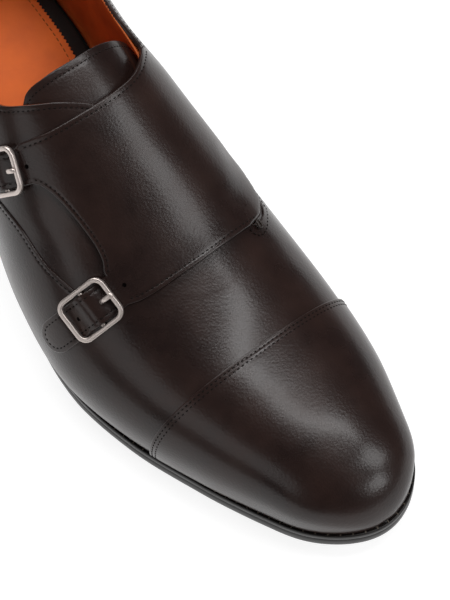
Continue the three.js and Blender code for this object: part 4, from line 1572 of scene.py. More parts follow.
@dataclass
class MedialQuarterAndStraps(UpperPart):
    """The inner side of the upper, which runs on over the instep as a flap and ends in the two straps."""

    thickness: float = 1.9
    edge_radius: float = 0.5
    step: float = 1.2
    strap_step: float = 0.9
    scoop_columns: int = 44
    root_fill: int = 7
    tip_rows: int = 14
    tip_turn: float = 0.985 * RIGHT_ANGLE
    stitch_inset: float = 1.9
    scoop_stitch_inset: float = 1.6
    # Folds across each strap where it pulls over its buckle: distance along, depth.
    folds: Rows = ((-9.5, 0.22), (-5.0, -0.18), (3.5, 0.14), (9.5, 0.2))
    fold_width: float = 2.6
    fold_bow: float = 0.06
    fold_half: float = 4.2
    # The hollow at the flap's medial foot: x, millimetres round from the ridge.
    hollow: Rows = ((178, 30), (171, 38), (160, 44))
    hollow_depth: float = 0.3
    hollow_width: float = 9.0
    # The flap's face rises from the quarter's between these stations, or near the ridge within these.
    rise_x: Pair = (100.0, 128.0)
    rise_s: Pair = (0.0, 25.0)

    def height(self, w: Array, v: Array) -> Array:
        """Height of the leather's face: low on the quarter, rising where it becomes the flap.

        Args:
            w: Stations.
            v: Girth shares.

        Returns:
            Heights above the last.
        """
        s = self.last.round_from_ridge(np.maximum(w, self.last.fan_start), v)
        station, slit, fall = np.array(SLIT, float).T
        foot = np.interp(w, station, slit)
        up = 1.0 - smoothstep(foot - np.interp(w, station, fall), foot, s)
        ahead = np.maximum(smoothstep(*self.rise_x, w), 1.0 - smoothstep(*self.rise_s, s))
        return QUARTER_FACE + (FLAP_FACE - QUARTER_FACE) * up * ahead

    def _across(self) -> Array:
        """Places across a strap, from its rear edge forwards."""
        return spacing(FRONT_STRAP.width, CUT_EDGE, CUT_EDGE, self.root_fill) - FRONT_STRAP.width / 2.0

    def lateral_edge(self) -> Line:
        """The flap's lateral edge in order: rear strap's root, scoop, front strap's root.

        Returns:
            The line.
        """
        rear, front = (
            np.array(plan.place(self.last, -plan.root_reach, plan.spread(-plan.root_reach, self._across())))
            for plan in (REAR_STRAP, FRONT_STRAP)
        )
        x, s = np.array(FLAP_SCOOP, float).T
        rows = [rear[:, -1], *zip(x, self.last.share(x, s)), front[:, 0]]
        scoop = Line.through(self.last, rows, self.scoop_columns + 2)
        return Line(*np.concatenate([rear, np.array([scoop.w, scoop.v])[:, 1:-1], front], 1))

    def _flap(self) -> Grid:
        """The flap's grid from the lateral edge to the medial side of the instep.

        Returns:
            Stations and girth shares, rows from lateral to medial.
        """
        edge = self.lateral_edge()
        edge_s = self.last.round_from_ridge(edge.w, edge.v)
        top, foot = table_at(FLAP_TOP, edge_s), table_at(FLAP_FRONT, edge_s)
        laterally = (edge.w - top) / (foot - top)
        length = float(FLAP_FRONT[-1][1] - FLAP_TOP[-1][1])
        medially = spacing(length, CUT_EDGE, CUT_EDGE, len(edge.w) - 2 * len(CUT_EDGE)) / length
        reach = FLAP_MEDIAL_S - float(edge_s.mean())
        t = spacing(reach, CUT_EDGE, (0.0, 0.6), int(reach / self.step))[:, None] / reach
        s = edge_s + (FLAP_MEDIAL_S - edge_s) * t
        share = laterally + (medially - laterally) * smoothstep(0.0, 1.0, t)
        top, foot = table_at(FLAP_TOP, s), table_at(FLAP_FRONT, s)
        w = top + (foot - top) * share
        return w, self.last.share(w, s)

    def _strap(self, plan: StrapPlan) -> tuple[Array, Array, Array]:
        """One strap's grid, from its root to its round tip.

        Args:
            plan: The strap.

        Returns:
            Stations, girth shares and rises over the buckle's bar.
        """
        across, half = self._across(), plan.width / 2.0
        straight = np.arange(-plan.root_reach, plan.tip_reach - half, self.strap_step)
        turns = np.linspace(0.0, self.tip_turn, self.tip_rows)
        along = np.concatenate([straight, plan.tip_reach - half + half * np.sin(turns)])
        narrow = np.concatenate([np.ones(len(straight)), np.cos(turns)])
        places = np.broadcast_to(along[:, None], (len(along), len(across)))
        w, v = plan.place(self.last, places, plan.spread(places, narrow[:, None] * across))
        return w, v, plan.rise(places)

    def _quarter(self, w: Array, v: Array) -> Grid:
        """The quarter's grid, its front columns meeting the flap's medial row.

        Args:
            w: Stations of the flap's medial row.
            v: Its girth shares.

        Returns:
            Stations and girth shares, rows from the upper edge to the feather.
        """
        back = np.linspace(self.last.back_w, w[0], 110)[:-1]
        edge = Line(np.append(back, w), np.append(self.last.collar(back, Side.MEDIAL), v))
        foot = Line(edge.w, np.ones(len(edge.w)))
        return ruled(self.last, edge, foot, CUT_EDGE, PLAIN_EDGE, self.step)

    def strap_stitch_line(self, plan: StrapPlan) -> Line:
        """The row round one strap, inside its edge.

        Args:
            plan: The strap.

        Returns:
            The line, rising over the buckle's bar with the strap.
        """
        half = plan.width / 2.0
        inner = half - self.stitch_inset
        straight = np.arange(-plan.root_reach + 1.0, plan.tip_reach - half, 0.7)
        turns = np.linspace(-RIGHT_ANGLE, RIGHT_ANGLE, 24)
        along = np.concatenate([straight, plan.tip_reach - half + inner * np.cos(turns), straight[::-1]])
        side = np.full(len(straight), inner)
        across = np.concatenate([-side, inner * np.sin(turns), side])
        return Line(*plan.place(self.last, along, plan.spread(along, across)), plan.rise(along))

    def stitch_lines(self) -> list[Line]:
        """Every row sewn along the piece's edges.

        Returns:
            The lines.
        """
        rows = []
        for table, start, end, inset in ((FLAP_TOP, FLAP_TOP[0][0], FLAP_MEDIAL_S, -self.stitch_inset),
                                         (FLAP_FRONT, -27.0, FLAP_MEDIAL_S - 2.0, self.stitch_inset)):
            s = np.linspace(start, end, 90)
            x = table_at(table, s)
            rows.append(Line(x, self.last.share(x, s)).beside(self.last, inset))
        edge, roots = self.lateral_edge(), len(self._across())
        scoop = Line(edge.w[roots - 1 : -roots + 1], edge.v[roots - 1 : -roots + 1])
        w = np.linspace(self.last.back_w, FLAP_TOP[-1][1], 140)
        collar = Line(w, self.last.collar(w, Side.MEDIAL))
        rows += [scoop.beside(self.last, self.scoop_stitch_inset),
                 collar.beside(self.last, self.stitch_inset)]
        return rows + [self.strap_stitch_line(plan) for plan in (FRONT_STRAP, REAR_STRAP)]

    def rows(self) -> Sewn:
        """The sewn rows, with the height of the leather that they lie in."""
        return [(line, self.height) for line in self.stitch_lines()]

    def _softs(self) -> list[Soft]:
        """Soft folds where the straps pull over their buckles and at the flap's medial foot.

        Returns:
            The folds.
        """
        across = np.linspace(-self.fold_half, self.fold_half, 16)
        x, s = np.array(self.hollow, float).T
        hollow = Line.through(self.last, np.stack([x, self.last.share(x, s)], -1), 40)
        softs = [Soft(hollow, self.hollow_depth, self.hollow_width)]
        for plan in (FRONT_STRAP, REAR_STRAP):
            for along, depth in self.folds:
                place = plan.place(self.last, along + self.fold_bow * across**2, across)
                softs.append(Soft(Line(*place), depth, self.fold_width))
        return softs

    def build(self) -> Mesh:
        """Makes the piece.

        Returns:
            The dressed piece.
        """
        leather = Leather("medial_quarter_and_straps", self.last, self.height, self.thickness,
                          self.edge_radius, self.stitch_lines(), softs=self._softs())
        flap = self._flap()
        leather.add(*flap)
        for plan in (REAR_STRAP, FRONT_STRAP):
            leather.add(*self._strap(plan))
        leather.add(*self._quarter(*(part[-1] for part in flap)))
        return place_piece(leather.build(), self.finishes.calf, "upper_leather", "strap_flap", "upper")


@dataclass
class Tongue(UpperPart):
    """The tongue under the flap: calf outside, lining calf inside."""

    face: float = -3.7
    root_x: float = 172.0
    top_middle: float = 10.0
    top_half: float = 37.0
    root_half: float = 22.0
    calf: float = 1.0
    lining: float = 0.55
    lining_edge: float = 0.2
    glue: float = 0.03
    stitch_inset: float = 2.6

    def _line(self, inset: float) -> Line:
        """The line that runs inside the tongue's top edge.

        Args:
            inset: How far inside.

        Returns:
            The line, from the lateral side to the medial one.
        """
        across = np.linspace(-1.0, 1.0, 91)
        top = table_at(TONGUE_TOP, across)
        down = inset / (self.root_x - top)
        half = self.top_half + (self.root_half - self.top_half) * down
        return Line(top + inset, self.last.share(top + inset, self.top_middle * (1.0 - down) + half * across))

    def stitch_line(self) -> Line:
        """The row inside the top edge."""
        return self._line(self.stitch_inset)

    def rows(self) -> Sewn:
        """The sewn row, with the height of the leather that it lies in."""
        return [(self.stitch_line(), level(self.face))]

    def build(self) -> list[Mesh]:
        """Makes the tongue's two layers.

        Returns:
            The dressed pieces.
        """
        reach = self.root_x - max(x for _, x in TONGUE_TOP)
        rows = [self._line(inset) for inset in spacing(reach, CUT_EDGE, PLAIN_EDGE, 40)]
        w, v = np.array([row.w for row in rows]), np.array([row.v for row in rows])
        outer = Leather("tongue_calf", self.last, level(self.face), self.calf, grooves=[self.stitch_line()])
        outer.add(w, v)
        inner = Leather("tongue_lining", self.last, level(self.face - self.calf - self.glue), self.lining,
                        self.lining_edge)
        inner.add(w[1:], v[1:])
        return [
            place_piece(outer.build(), self.finishes.calf, "upper_leather", "tongue"),
            place_piece(inner.build(), self.finishes.lining, "lining_leather", "tongue"),
        ]


@dataclass
class Lining(UpperPart):
    """The lining of the whole upper, from the collar to the toe."""

    face: float = -1.13
    thickness: float = 1.05
    edge_radius: float = 0.3
    rows: int = 30
    middle: float = 112.0
    throat: float = 138.0

    def build(self) -> Mesh:
        """Makes the lining.

        Returns:
            The dressed piece.
        """
        leather = Leather("upper_lining", self.last, level(self.face), self.thickness, self.edge_radius)
        rises = np.linspace(0.0, 1.0, self.rows + 1)[:, None]
        w = np.append(np.linspace(self.last.back_w, self.middle, 90),
                      np.linspace(self.middle, self.throat, 30)[1:])
        for side in Side:
            shares = side.value * (1.0 + (self.last.collar(w, side) - 1.0) * rises)
            leather.add(np.broadcast_to(w, shares.shape), shares)
        x = self.throat + (self.last.tip - self.throat) * np.sin(np.linspace(0.0, 1.0, 60) * RIGHT_ANGLE)
        leather.add(*np.meshgrid(x, np.linspace(-1.0, 1.0, 2 * self.rows + 1), indexing="ij"))
        return place_piece(leather.build(), self.finishes.lining, "lining_leather", "upper")


@dataclass
class BackStrip(UpperPart):
    """The narrow strip that covers the back seam."""

    face: float = 0.85
    thickness: float = 0.9
    edge_radius: float = 0.35
    half_width: float = 7.0
    low_flare: float = 4.0

    def build(self) -> Mesh:
        """Makes the strip.

        Returns:
            The dressed piece.
        """
        leather = Leather("back_strip", self.last, level(self.face), self.thickness, self.edge_radius)
        rises = np.linspace(0.0, 1.0, 60)[:, None]
        reach = self.half_width + self.low_flare * (1.0 - rises)
        w = self.last.back_w + reach * spacing(self.half_width, (0.0,), CUT_EDGE, 4) / self.half_width
        for side in Side:
            leather.add(w, side.value * (1.0 + (self.last.collar(w, side) - 1.0) * rises))
        return place_piece(leather.build(), self.finishes.calf, "upper_leather", "upper")


# ---- Sole, welt, heel and footbed ----

# How far the sole's edge stands outside the feather: x, lateral, medial.
SOLE_MARGINS = ((4, 1.8, 1.8), (75, 1.4, 1.2), (110, 0.4, -1), (150, 0.5, -0.5), (190, 2.1, 2.1),
                (240, 2.6, 2.6), (297, 3, 3))


@dataclass
class Bottom:
    """The feather line in plan, with the loops and heights that all the bottom's parts share."""

    last: Last
    heel_back: float = 6.5
    heel_turns: int = 24
    stations: int = 190
    depth: float = 8.3
    heel_depth: float = 7.0
    shank: Pair = (80.0, 160.0)

    def __post_init__(self) -> None:
        """Works out the feather loop: back of the heel, lateral side, toe tip, medial side."""
        sides = [self._side(side) for side in Side]
        self.loop = np.concatenate([sides[0], sides[1][1:-1][::-1]])
        self.table_x = np.linspace(self.last.fan_start, self.last.tip, 1200)
        row = self.last.row(self.table_x)
        self.table_feather, self.table_centre = row["feather"], row["centre"]

    def _side(self, side: Side) -> Array:
        """One side of the feather line from the back of the heel to the toe.

        Args:
            side: Which side.

        Returns:
            Points (x, y).
        """
        last, row = self.last, self.last.row(self.last.fan_start)
        turn = np.arange(self.heel_turns) / self.heel_turns * RIGHT_ANGLE
        power = 2.0 / last.roundness
        heel = points_from(last.fan_start - (last.fan_start - self.heel_back) * np.cos(turn) ** power,
                           row["centre"] + side.value * row["half"] * np.sin(turn) ** power)
        share = np.sin(np.linspace(0.0, RIGHT_ANGLE, self.stations + 1))
        x = last.fan_start + (last.tip - last.fan_start) * share
        fore = last.row(x)
        return np.concatenate([heel, points_from(x, fore["centre"] + side.value * fore["half"])])

    def feather(self, x: Array) -> Array:
        """Height of the feather line."""
        return np.interp(x, self.table_x, self.table_feather)

    def underside(self, x: Array) -> Array:
        """Height of the outsole's underside, flat on the ground under the ball."""
        depth = np.interp(x, self.shank, (self.heel_depth, self.depth))
        return np.maximum(0.0, self.feather(x) - depth)

    def margin(self) -> Array:
        """How far the sole's edge stands outside the feather at each point of the loop.

        Returns:
            The distances.
        """
        x, y = self.loop.T
        stations, lateral, medial = np.array(SOLE_MARGINS, float).T
        is_lateral = y < np.interp(x, self.table_x, self.table_centre)
        return np.where(is_lateral, np.interp(x, stations, lateral), np.interp(x, stations, medial))

    def moved_out(self, distance: Array | float) -> Array:
        """The loop moved outwards, as a whole or by a distance for each point.

        Args:
            distance: How far.

        Returns:
            Points (x, y).
        """
        run = unit(np.roll(self.loop, -1, 0) - np.roll(self.loop, 1, 0))
        outwards = points_from(run[:, 1], -run[:, 0])
        return self.loop + outwards * np.broadcast_to(distance, len(self.loop))[:, None]

    def ring(self, out: Array | float, drop: float, share: float = 1.0) -> Array:
        """The loop moved outwards and raised.

        Args:
            out: How far outwards.
            drop: How far below the feather line its place lies at a share of 1.
            share: Share of the height from the outsole's underside.

        Returns:
            Points (x, y, z).
        """
        loop = self.moved_out(out)
        low, high = self.underside(loop[:, 0]), self.feather(loop[:, 0]) - drop
        return points_from(*loop.T, low + (high - low) * share)

    def stack(self, name: str, rings: Sequence[Array], tube: bool = False, sharp_angle: float = 50.0) -> Mesh:
        """Closed solid through a stack of loops, its ends closed from side to side.

        Args:
            name: The piece's name.
            rings: Loops with equal counts, bottom first.
            tube: Whether the last loop joins the first.
            sharp_angle: Edges that turn more than this many degrees stay sharp.

        Returns:
            The mesh object.
        """
        count = len(rings[0])
        ids = np.arange(len(rings) * count).reshape(len(rings), count)
        faces = grid_faces(ids, around=True, along=tube)
        if not tube:
            for base in (0, (len(rings) - 1) * count):
                faces.append((base, base + 1, base + count - 1))
                for i in range(1, count // 2):
                    quad = (base + i, base + i + 1, base + count - i - 1, base + count - i)
                    faces.append(tuple(dict.fromkeys(quad)))
        faces = [face for face in faces if len(face) > 2]
        return mesh_object(name, to_metres(self.last, np.concatenate(rings)), faces, sharp_angle)


@dataclass
class BottomPart:
    """A part of the bottom, built on its shared loops."""

    bottom: Bottom
    finishes: Finishes


@dataclass
class Welt(BottomPart):
    """The stitched welt: its top shows beside the upper, with the sole stitching sunk along it."""

    drop: float = 3.0
    clearance: float = 0.3
    inset: float = 7.0
    stitch_inset: float = 1.25
    stitch_pitch: float = 4.6
    stitch_share: float = 0.78
    stitch_radius: float = 0.36
    stitch_drop: float = 0.5
    ridge_radius: float = 0.26
    ridge_reach: Pair = (-0.75, 0.95)
    # Profile from its outer lower corner: distance inside the sole's edge, depth below the feather line.
    profile: Rows = ((0.25, 3.0), (0.05, 2.8), (0.0, 2.2), (0.0, 1.2), (0.08, 0.75), (0.3, 0.45), (0.6, 0.34),
                     (0.85, 0.42), (1.05, 0.62), (1.45, 0.62), (1.65, 0.42), (1.95, 0.3))

    def build(self) -> Mesh:
        """Makes the welt.

        Returns:
            The dressed piece.
        """
        base, margin = self.bottom, self.bottom.margin()
        rings = [base.ring(margin - inside, depth) for inside, depth in self.profile]
        rings += [base.ring(-self.inset, drop) for drop in (self.clearance, self.drop)]
        piece = base.stack("welt_leather", rings, tube=True)
        return place_piece(piece, self.finishes.sole, "sole_leather", "welt")

    def stitches(self) -> list[Mesh]:
        """Makes the sole stitching along the welt, and the fudged ridges across it between stitches.

        Returns:
            The dressed pieces.
        """
        base = self.bottom
        thread = Stitching("welt_stitches", base.last, radius=self.stitch_radius)
        ridges = Stitching("welt_ridges", base.last, radius=self.ridge_radius)
        line = base.ring(base.margin() - self.stitch_inset, self.stitch_drop)
        line = np.concatenate([line, line[:1]])
        run = run_length(line)
        count = int(run[-1] / self.stitch_pitch)
        pitch = run[-1] / count
        middles = (np.arange(count) + 0.5) * pitch

        def read(shift: float) -> Array:
            """Points of the line a shift beyond the stitches' middles."""
            return along_line(line, run, np.mod(middles + shift, run[-1]))

        half, near = 0.5 * self.stitch_share * pitch, 0.4
        for start, end in zip(read(-half), read(half)):
            thread.stitch(start, end, UP)
        ways = unit(read(pitch / 2.0 + near) - read(pitch / 2.0 - near))
        for middle, out in zip(read(pitch / 2.0), np.cross(ways, UP)):
            ridges.stitch(*(middle + out * reach for reach in self.ridge_reach), UP)
        return [place_piece(thread.build(), self.finishes.thread, "thread"),
                place_piece(ridges.build(), self.finishes.ridge, "thread")]


@dataclass
class Outsole(BottomPart):
    """The leather outsole: square edge, set a little inside at its foot."""

    top_drop: float = 3.3
    ledge: float = 7.3
    filler_gap: float = 0.4
    clearance: float = 0.3
    # Edge profile: distance inside the sole's edge, share of the edge's height.
    profile: Rows = ((1.6, 0.0), (0.85, 0.0), (0.4, 0.05), (0.12, 0.14), (0.0, 0.3), (-0.05, 0.5),
                     (0.0, 0.75), (0.12, 0.9), (0.35, 1.0))

    def build(self) -> Mesh:
        """Makes the outsole.

        Returns:
            The dressed piece.
        """
        base, margin = self.bottom, self.bottom.margin()
        rings = [base.ring(margin - inside, self.top_drop, share) for inside, share in self.profile]
        rings += [base.ring(-self.ledge, self.top_drop),
                  base.ring(-self.ledge - self.filler_gap, self.clearance)]
        piece = base.stack("outsole_leather", rings)
        return place_piece(piece, self.finishes.sole, "sole_leather", "outsole")


@dataclass
class Heel(BottomPart):
    """The heel: stacked leather lifts under the sole, and a rubber top piece on the ground."""

    breast_x: float = 80.0
    breast_gap: float = 0.7
    top_piece: float = 6.0
    clearance: float = 0.3
    gap: float = 0.6
    inset: float = 0.6
    taper: float = 1.6
    lifts: int = 3
    line_depth: float = 0.2
    line_share: float = 0.018
    # The breast's rounded corners: distance behind the breast, distance in from the side.
    corner: Rows = ((0.25, 0.12), (0.0, 0.5))
    # The top piece's edge: distance inside its widest place, height.
    profile: Rows = ((0.9, 0.0), (0.3, 0.15), (0.0, 0.7), (0.0, 5.7), (0.2, 6.0))

    def _loop(self, inset: float) -> Array:
        """The heel's plan, from its back round to the straight breast.

        Args:
            inset: How far inside the sole's edge.

        Returns:
            Points (x, y).
        """
        loop = self.bottom.moved_out(self.bottom.margin() - inset)
        half = len(loop) // 2
        lateral, medial = (part[part[:, 0] < self.breast_x - self.breast_gap]
                           for part in (loop[: half + 1], loop[half + 1 :]))
        corners = [[(self.breast_x - behind, end[1] - sign * inside) for behind, inside in self.corner]
                   for end, sign in ((lateral[-1], -1.0), (medial[0], 1.0))]
        return np.concatenate([lateral, corners[0], corners[1][::-1], medial])

    def build(self) -> list[Mesh]:
        """Makes the lifts and the top piece.

        Returns:
            The dressed pieces.
        """
        base, rings = self.bottom, []
        low = self.top_piece + self.clearance
        for lift in range(self.lifts):
            foot, head = lift / self.lifts, (lift + 1) / self.lifts
            for share, pressed in ((foot, self.line_depth), (foot + self.line_share, 0.0),
                                   (head - self.line_share, 0.0), (head, self.line_depth)):
                loop = self._loop(self.inset + self.taper * (1.0 - share) + pressed)
                top = base.underside(loop[:, 0]) - self.gap
                rings.append(points_from(*loop.T, low + (top - low) * share))
        lifts = base.stack("heel_lifts", rings, sharp_angle=35.0)
        rings = [points_from(*self._loop(self.inset + self.taper + inside).T, height)
                 for inside, height in self.profile]
        piece = base.stack("heel_top_piece_rubber", rings, sharp_angle=60.0)
        return [place_piece(lifts, self.finishes.sole, "heel_leather", "heel_block"),
                place_piece(piece, self.finishes.rubber, "heel_rubber", "heel_top_piece")]


@dataclass
class Footbed(BottomPart):
    """The dark insole cover, and the padded tan sock with its pinked edge and sewn row."""

    inset: float = 2.9
    board: float = 3.0
    board_edge: Pair = (0.5, 0.4)
    sock_inset: float = 8.3
    sock_front: float = 225.0
    heel_rows: int = 29
    tooth: float = 0.9
    tooth_depth: float = 0.85
    tooth_reach: float = 0.15
    edge_height: float = 0.8
    crown: float = 1.5
    stitch_inset: float = 3.0
    stitch_pitch: float = 2.6
    stitch_half: float = 0.95
    stitch_radius: float = 0.24

    def _sock_half(self, x: Array) -> Array:
        """Half width of the sock at stations.

        Args:
            x: Stations.

        Returns:
            Half widths.
        """
        last = self.bottom.last
        back = self.bottom.heel_back + self.sock_inset
        behind = np.clip((last.fan_start - x) / (last.fan_start - back), 0.0, 1.0)
        rounded = (1.0 - behind**last.roundness) ** (1.0 / last.roundness)
        return (last.row(np.maximum(x, last.fan_start))["half"] - self.sock_inset) * rounded

    def _face(self, x: Array, y: Array, across: Array) -> Array:
        """Points of the sock's face, crowned across its width."""
        rise = self.board + self.edge_height + self.crown * (1.0 - np.abs(across) ** 3)
        return points_from(x, y, self.bottom.feather(x) + rise)

    def _sock(self, x: Array, centre: Array, half: Array) -> Mesh:
        """The sock, its edge cut in small teeth.

        Args:
            x: Stations of its rows, one tooth apart.
            centre: The feather line's middle at each.
            half: Its half width at each.

        Returns:
            The mesh object.
        """
        across = np.sin(np.linspace(-RIGHT_ANGLE, RIGHT_ANGLE, 41))
        teeth = np.where(np.arange(len(x)) % 2 == 0, self.tooth_depth, 0.0)[:, None]
        near_edge = np.clip((np.abs(across) - 1.0 + self.tooth_reach) / self.tooth_reach, 0.0, 1.0)
        y = centre[:, None] + (half[:, None] - teeth * near_edge) * across
        top = self._face(x[:, None], y, across)
        low = points_from(x[:, None], y, self.bottom.feather(x)[:, None] + self.board)
        ids = np.arange(y.size).reshape(y.shape)
        rim = np.concatenate([ids[:, 0], ids[-1, 1:], ids[::-1, -1][1:], ids[0, ::-1][1:-1]])
        faces = grid_faces(ids) + grid_faces(ids + y.size)
        faces += [(a, b, b + y.size, a + y.size) for a, b in zip(rim.tolist(), np.roll(rim, -1).tolist())]
        points = np.concatenate([top.reshape(-1, 3), low.reshape(-1, 3)])
        return mesh_object("sock", to_metres(self.bottom.last, points), faces, sharp_angle=50.0)

    def build(self) -> list[Mesh]:
        """Makes the insole cover, the sock and the sock's sewn row.

        Returns:
            The dressed pieces.
        """
        base, last = self.bottom, self.bottom.last
        softened, lowered = self.board_edge
        rings = [base.ring(-self.inset, drop) for drop in (0.0, lowered - self.board)]
        board = base.stack("insole_cover", rings + [base.ring(-self.inset - softened, -self.board)])
        back = base.heel_back + self.sock_inset
        turns = np.linspace(0.02, RIGHT_ANGLE, self.heel_rows + 1)[:-1]
        x = np.append(last.fan_start - (last.fan_start - back) * np.cos(turns),
                      np.arange(last.fan_start, self.sock_front, self.tooth))
        half, centre = self._sock_half(x), np.interp(x, base.table_x, base.table_centre)
        sock = self._sock(x, centre, half)
        thread = Stitching("sock_stitches", last, radius=self.stitch_radius)
        x, centre, half = (part[self.heel_rows + 1 :] for part in (x, centre, half))
        share = 1.0 - self.stitch_inset / half
        for side in Side:
            line = self._face(x, centre + side.value * half * share, share)
            run = run_length(line)
            middles = np.arange(0.5, run[-1] / self.stitch_pitch) * self.stitch_pitch
            starts, ends = (along_line(line, run, middles + half * self.stitch_half) for half in (-1, 1))
            for start, end in zip(starts, ends):
                thread.stitch(start, end, UP)
        return [place_piece(board, self.finishes.board, "lining_leather", "insole"),
                place_piece(sock, self.finishes.sock, "sock_leather", "insole"),
                place_piece(thread.build(), self.finishes.tan_thread, "thread")]


# ---- Buckles ----


@dataclass
class Buckle:
    """One cast buckle: a rounded frame with its centre bar, and the prong through the strap."""

    plan: StrapPlan
    last: Last
    finishes: Finishes
    length: float = 21.5
    width: float = 18.5
    bar: float = 1.9
    corner: float = 4.4
    corner_points: int = 13
    straight_points: int = 6
    rise: float = 2.05
    depth: float = 2.1
    squareness: float = 3.2
    pin: float = 1.8
    pin_height: float = 1.65
    pin_points: int = 9
    section_points: int = 20
    sharp_angle: float = 60.0
    # The prong: distance along the strap, height, radius.
    prong: Rows = ((-1.2, 1.5, 0.7), (-3.4, 1.7, 0.72), (-5.2, 3.05, 0.74), (-7.0, 4.65, 0.78),
                   (-8.9, 5.15, 0.8), (-10.6, 5.1, 0.76), (-11.3, 4.95, 0.6))
    prong_points: int = 40
    prong_flatness: Pair = (1.15, 0.9)
    prong_squareness: float = 2.4
    prong_taper: float = 4.0

    def _made(self, kind: str, points: Array, faces: Faces) -> Mesh:
        """One piece of the buckle, from points of the buckle's own frame, dressed in its metal.

        Args:
            kind: frame or prong.
            points: Its points.
            faces: Its faces.

        Returns:
            The dressed piece.
        """
        middle, *axes = self.plan.axes(self.last)
        placed = to_metres(self.last, middle + points @ np.array(axes))
        piece = mesh_object(f"buckle_{kind}_{self.plan.name}", placed, faces, self.sharp_angle)
        node = {"frame": "buckle", "prong": "prong"}[kind]
        return place_piece(piece, self.finishes.nickel, "nickel", f"{node}_{self.plan.name}")

    def _sweep(self, centres: Array, sides: Array, halves: Array, power: float,
               closed: bool) -> tuple[Array, Faces]:
        """Sweeps a superellipse along a line.

        Args:
            centres: Points of the line.
            sides: The section's sideways direction at each.
            halves: Half width and half height, for the whole line or each of its points.
            power: The superellipse's exponent.
            closed: Whether the line closes on itself.

        Returns:
            Points and faces.
        """
        along = np.gradient(centres, axis=0)
        ups = np.broadcast_to(UP, centres.shape) if closed else unit(np.cross(unit(along), sides))
        angle = 2.0 * math.pi * (np.arange(self.section_points) + 0.5) / self.section_points
        wide, high = (np.sign(c) * np.abs(c) ** (2.0 / power) for c in (np.cos(angle), np.sin(angle)))
        halves = np.broadcast_to(halves, (len(centres), 2))
        points = (centres[:, None] + sides[:, None] * (halves[:, :1] * wide)[..., None]
                  + ups[:, None] * (halves[:, 1:] * high)[..., None])
        ids = np.arange(points.size // 3).reshape(points.shape[:2])
        faces = grid_faces(ids, around=True, along=closed)
        if not closed:
            faces += [tuple(ids[end].tolist()) for end in (0, -1)]
        return points.reshape(-1, 3), faces

    def _frame(self) -> Mesh:
        """Makes the frame with its centre bar.

        Returns:
            The dressed piece.
        """
        radius = self.corner - self.bar / 2.0
        inner = np.array([self.length, self.width]) / 2.0 - self.bar / 2.0 - radius
        angle = (np.arange(4)[:, None] + np.linspace(0.0, 1.0, self.corner_points)) * RIGHT_ANGLE
        outs = points_from(np.cos(angle), np.sin(angle))
        arcs = (np.array([(1, 1), (-1, 1), (-1, -1), (1, -1)]) * inner)[:, None] + radius * outs
        ends, starts = arcs[:, -1:], np.roll(arcs, -1, 0)[:, :1]
        shares = np.linspace(0.0, 1.0, self.straight_points + 2)[1:-1, None]
        plan = np.concatenate([arcs, ends + (starts - ends) * shares], 1).reshape(-1, 2)
        outs = np.concatenate([outs, np.repeat(outs[:, -1:], self.straight_points, 1)], 1).reshape(-1, 2)
        centres = points_from(*plan.T, self.rise + self.depth / 2.0)
        halves = np.array([self.bar, self.depth]) / 2.0
        points, faces = self._sweep(centres, points_from(*outs.T, 0.0), halves, self.squareness, True)
        reach = (self.width - self.bar) / 2.0
        centres = points_from(0.0, np.linspace(-reach, reach, self.pin_points), self.pin_height)
        sides = np.broadcast_to((1.0, 0.0, 0.0), centres.shape)
        bar, bar_faces = self._sweep(centres, sides, np.full(2, self.pin / 2.0), 2.0, False)
        faces += [tuple(i + len(points) for i in face) for face in bar_faces]
        return self._made("frame", np.concatenate([points, bar]), faces)

    def _prong(self) -> Mesh:
        """Makes the prong, its tip rounded off.

        Returns:
            The dressed piece.
        """
        table = np.array(self.prong, float)
        knots = run_length(table[:, :2])
        x, z, radius = cubic(knots, table, np.linspace(0.0, knots[-1], self.prong_points)).T
        left = np.arange(self.prong_points)[::-1] + 0.6
        radius = radius * np.sqrt(np.clip(left / self.prong_taper, 0.0, 1.0))
        centres = points_from(x, 0.0, z)
        sides = np.broadcast_to((0.0, 1.0, 0.0), centres.shape)
        halves = radius[:, None] * self.prong_flatness
        return self._made("prong", *self._sweep(centres, sides, halves, self.prong_squareness, False))

    def build(self) -> list[Mesh]:
        """Makes the frame with its bar, and the prong."""
        return [self._frame(), self._prong()]


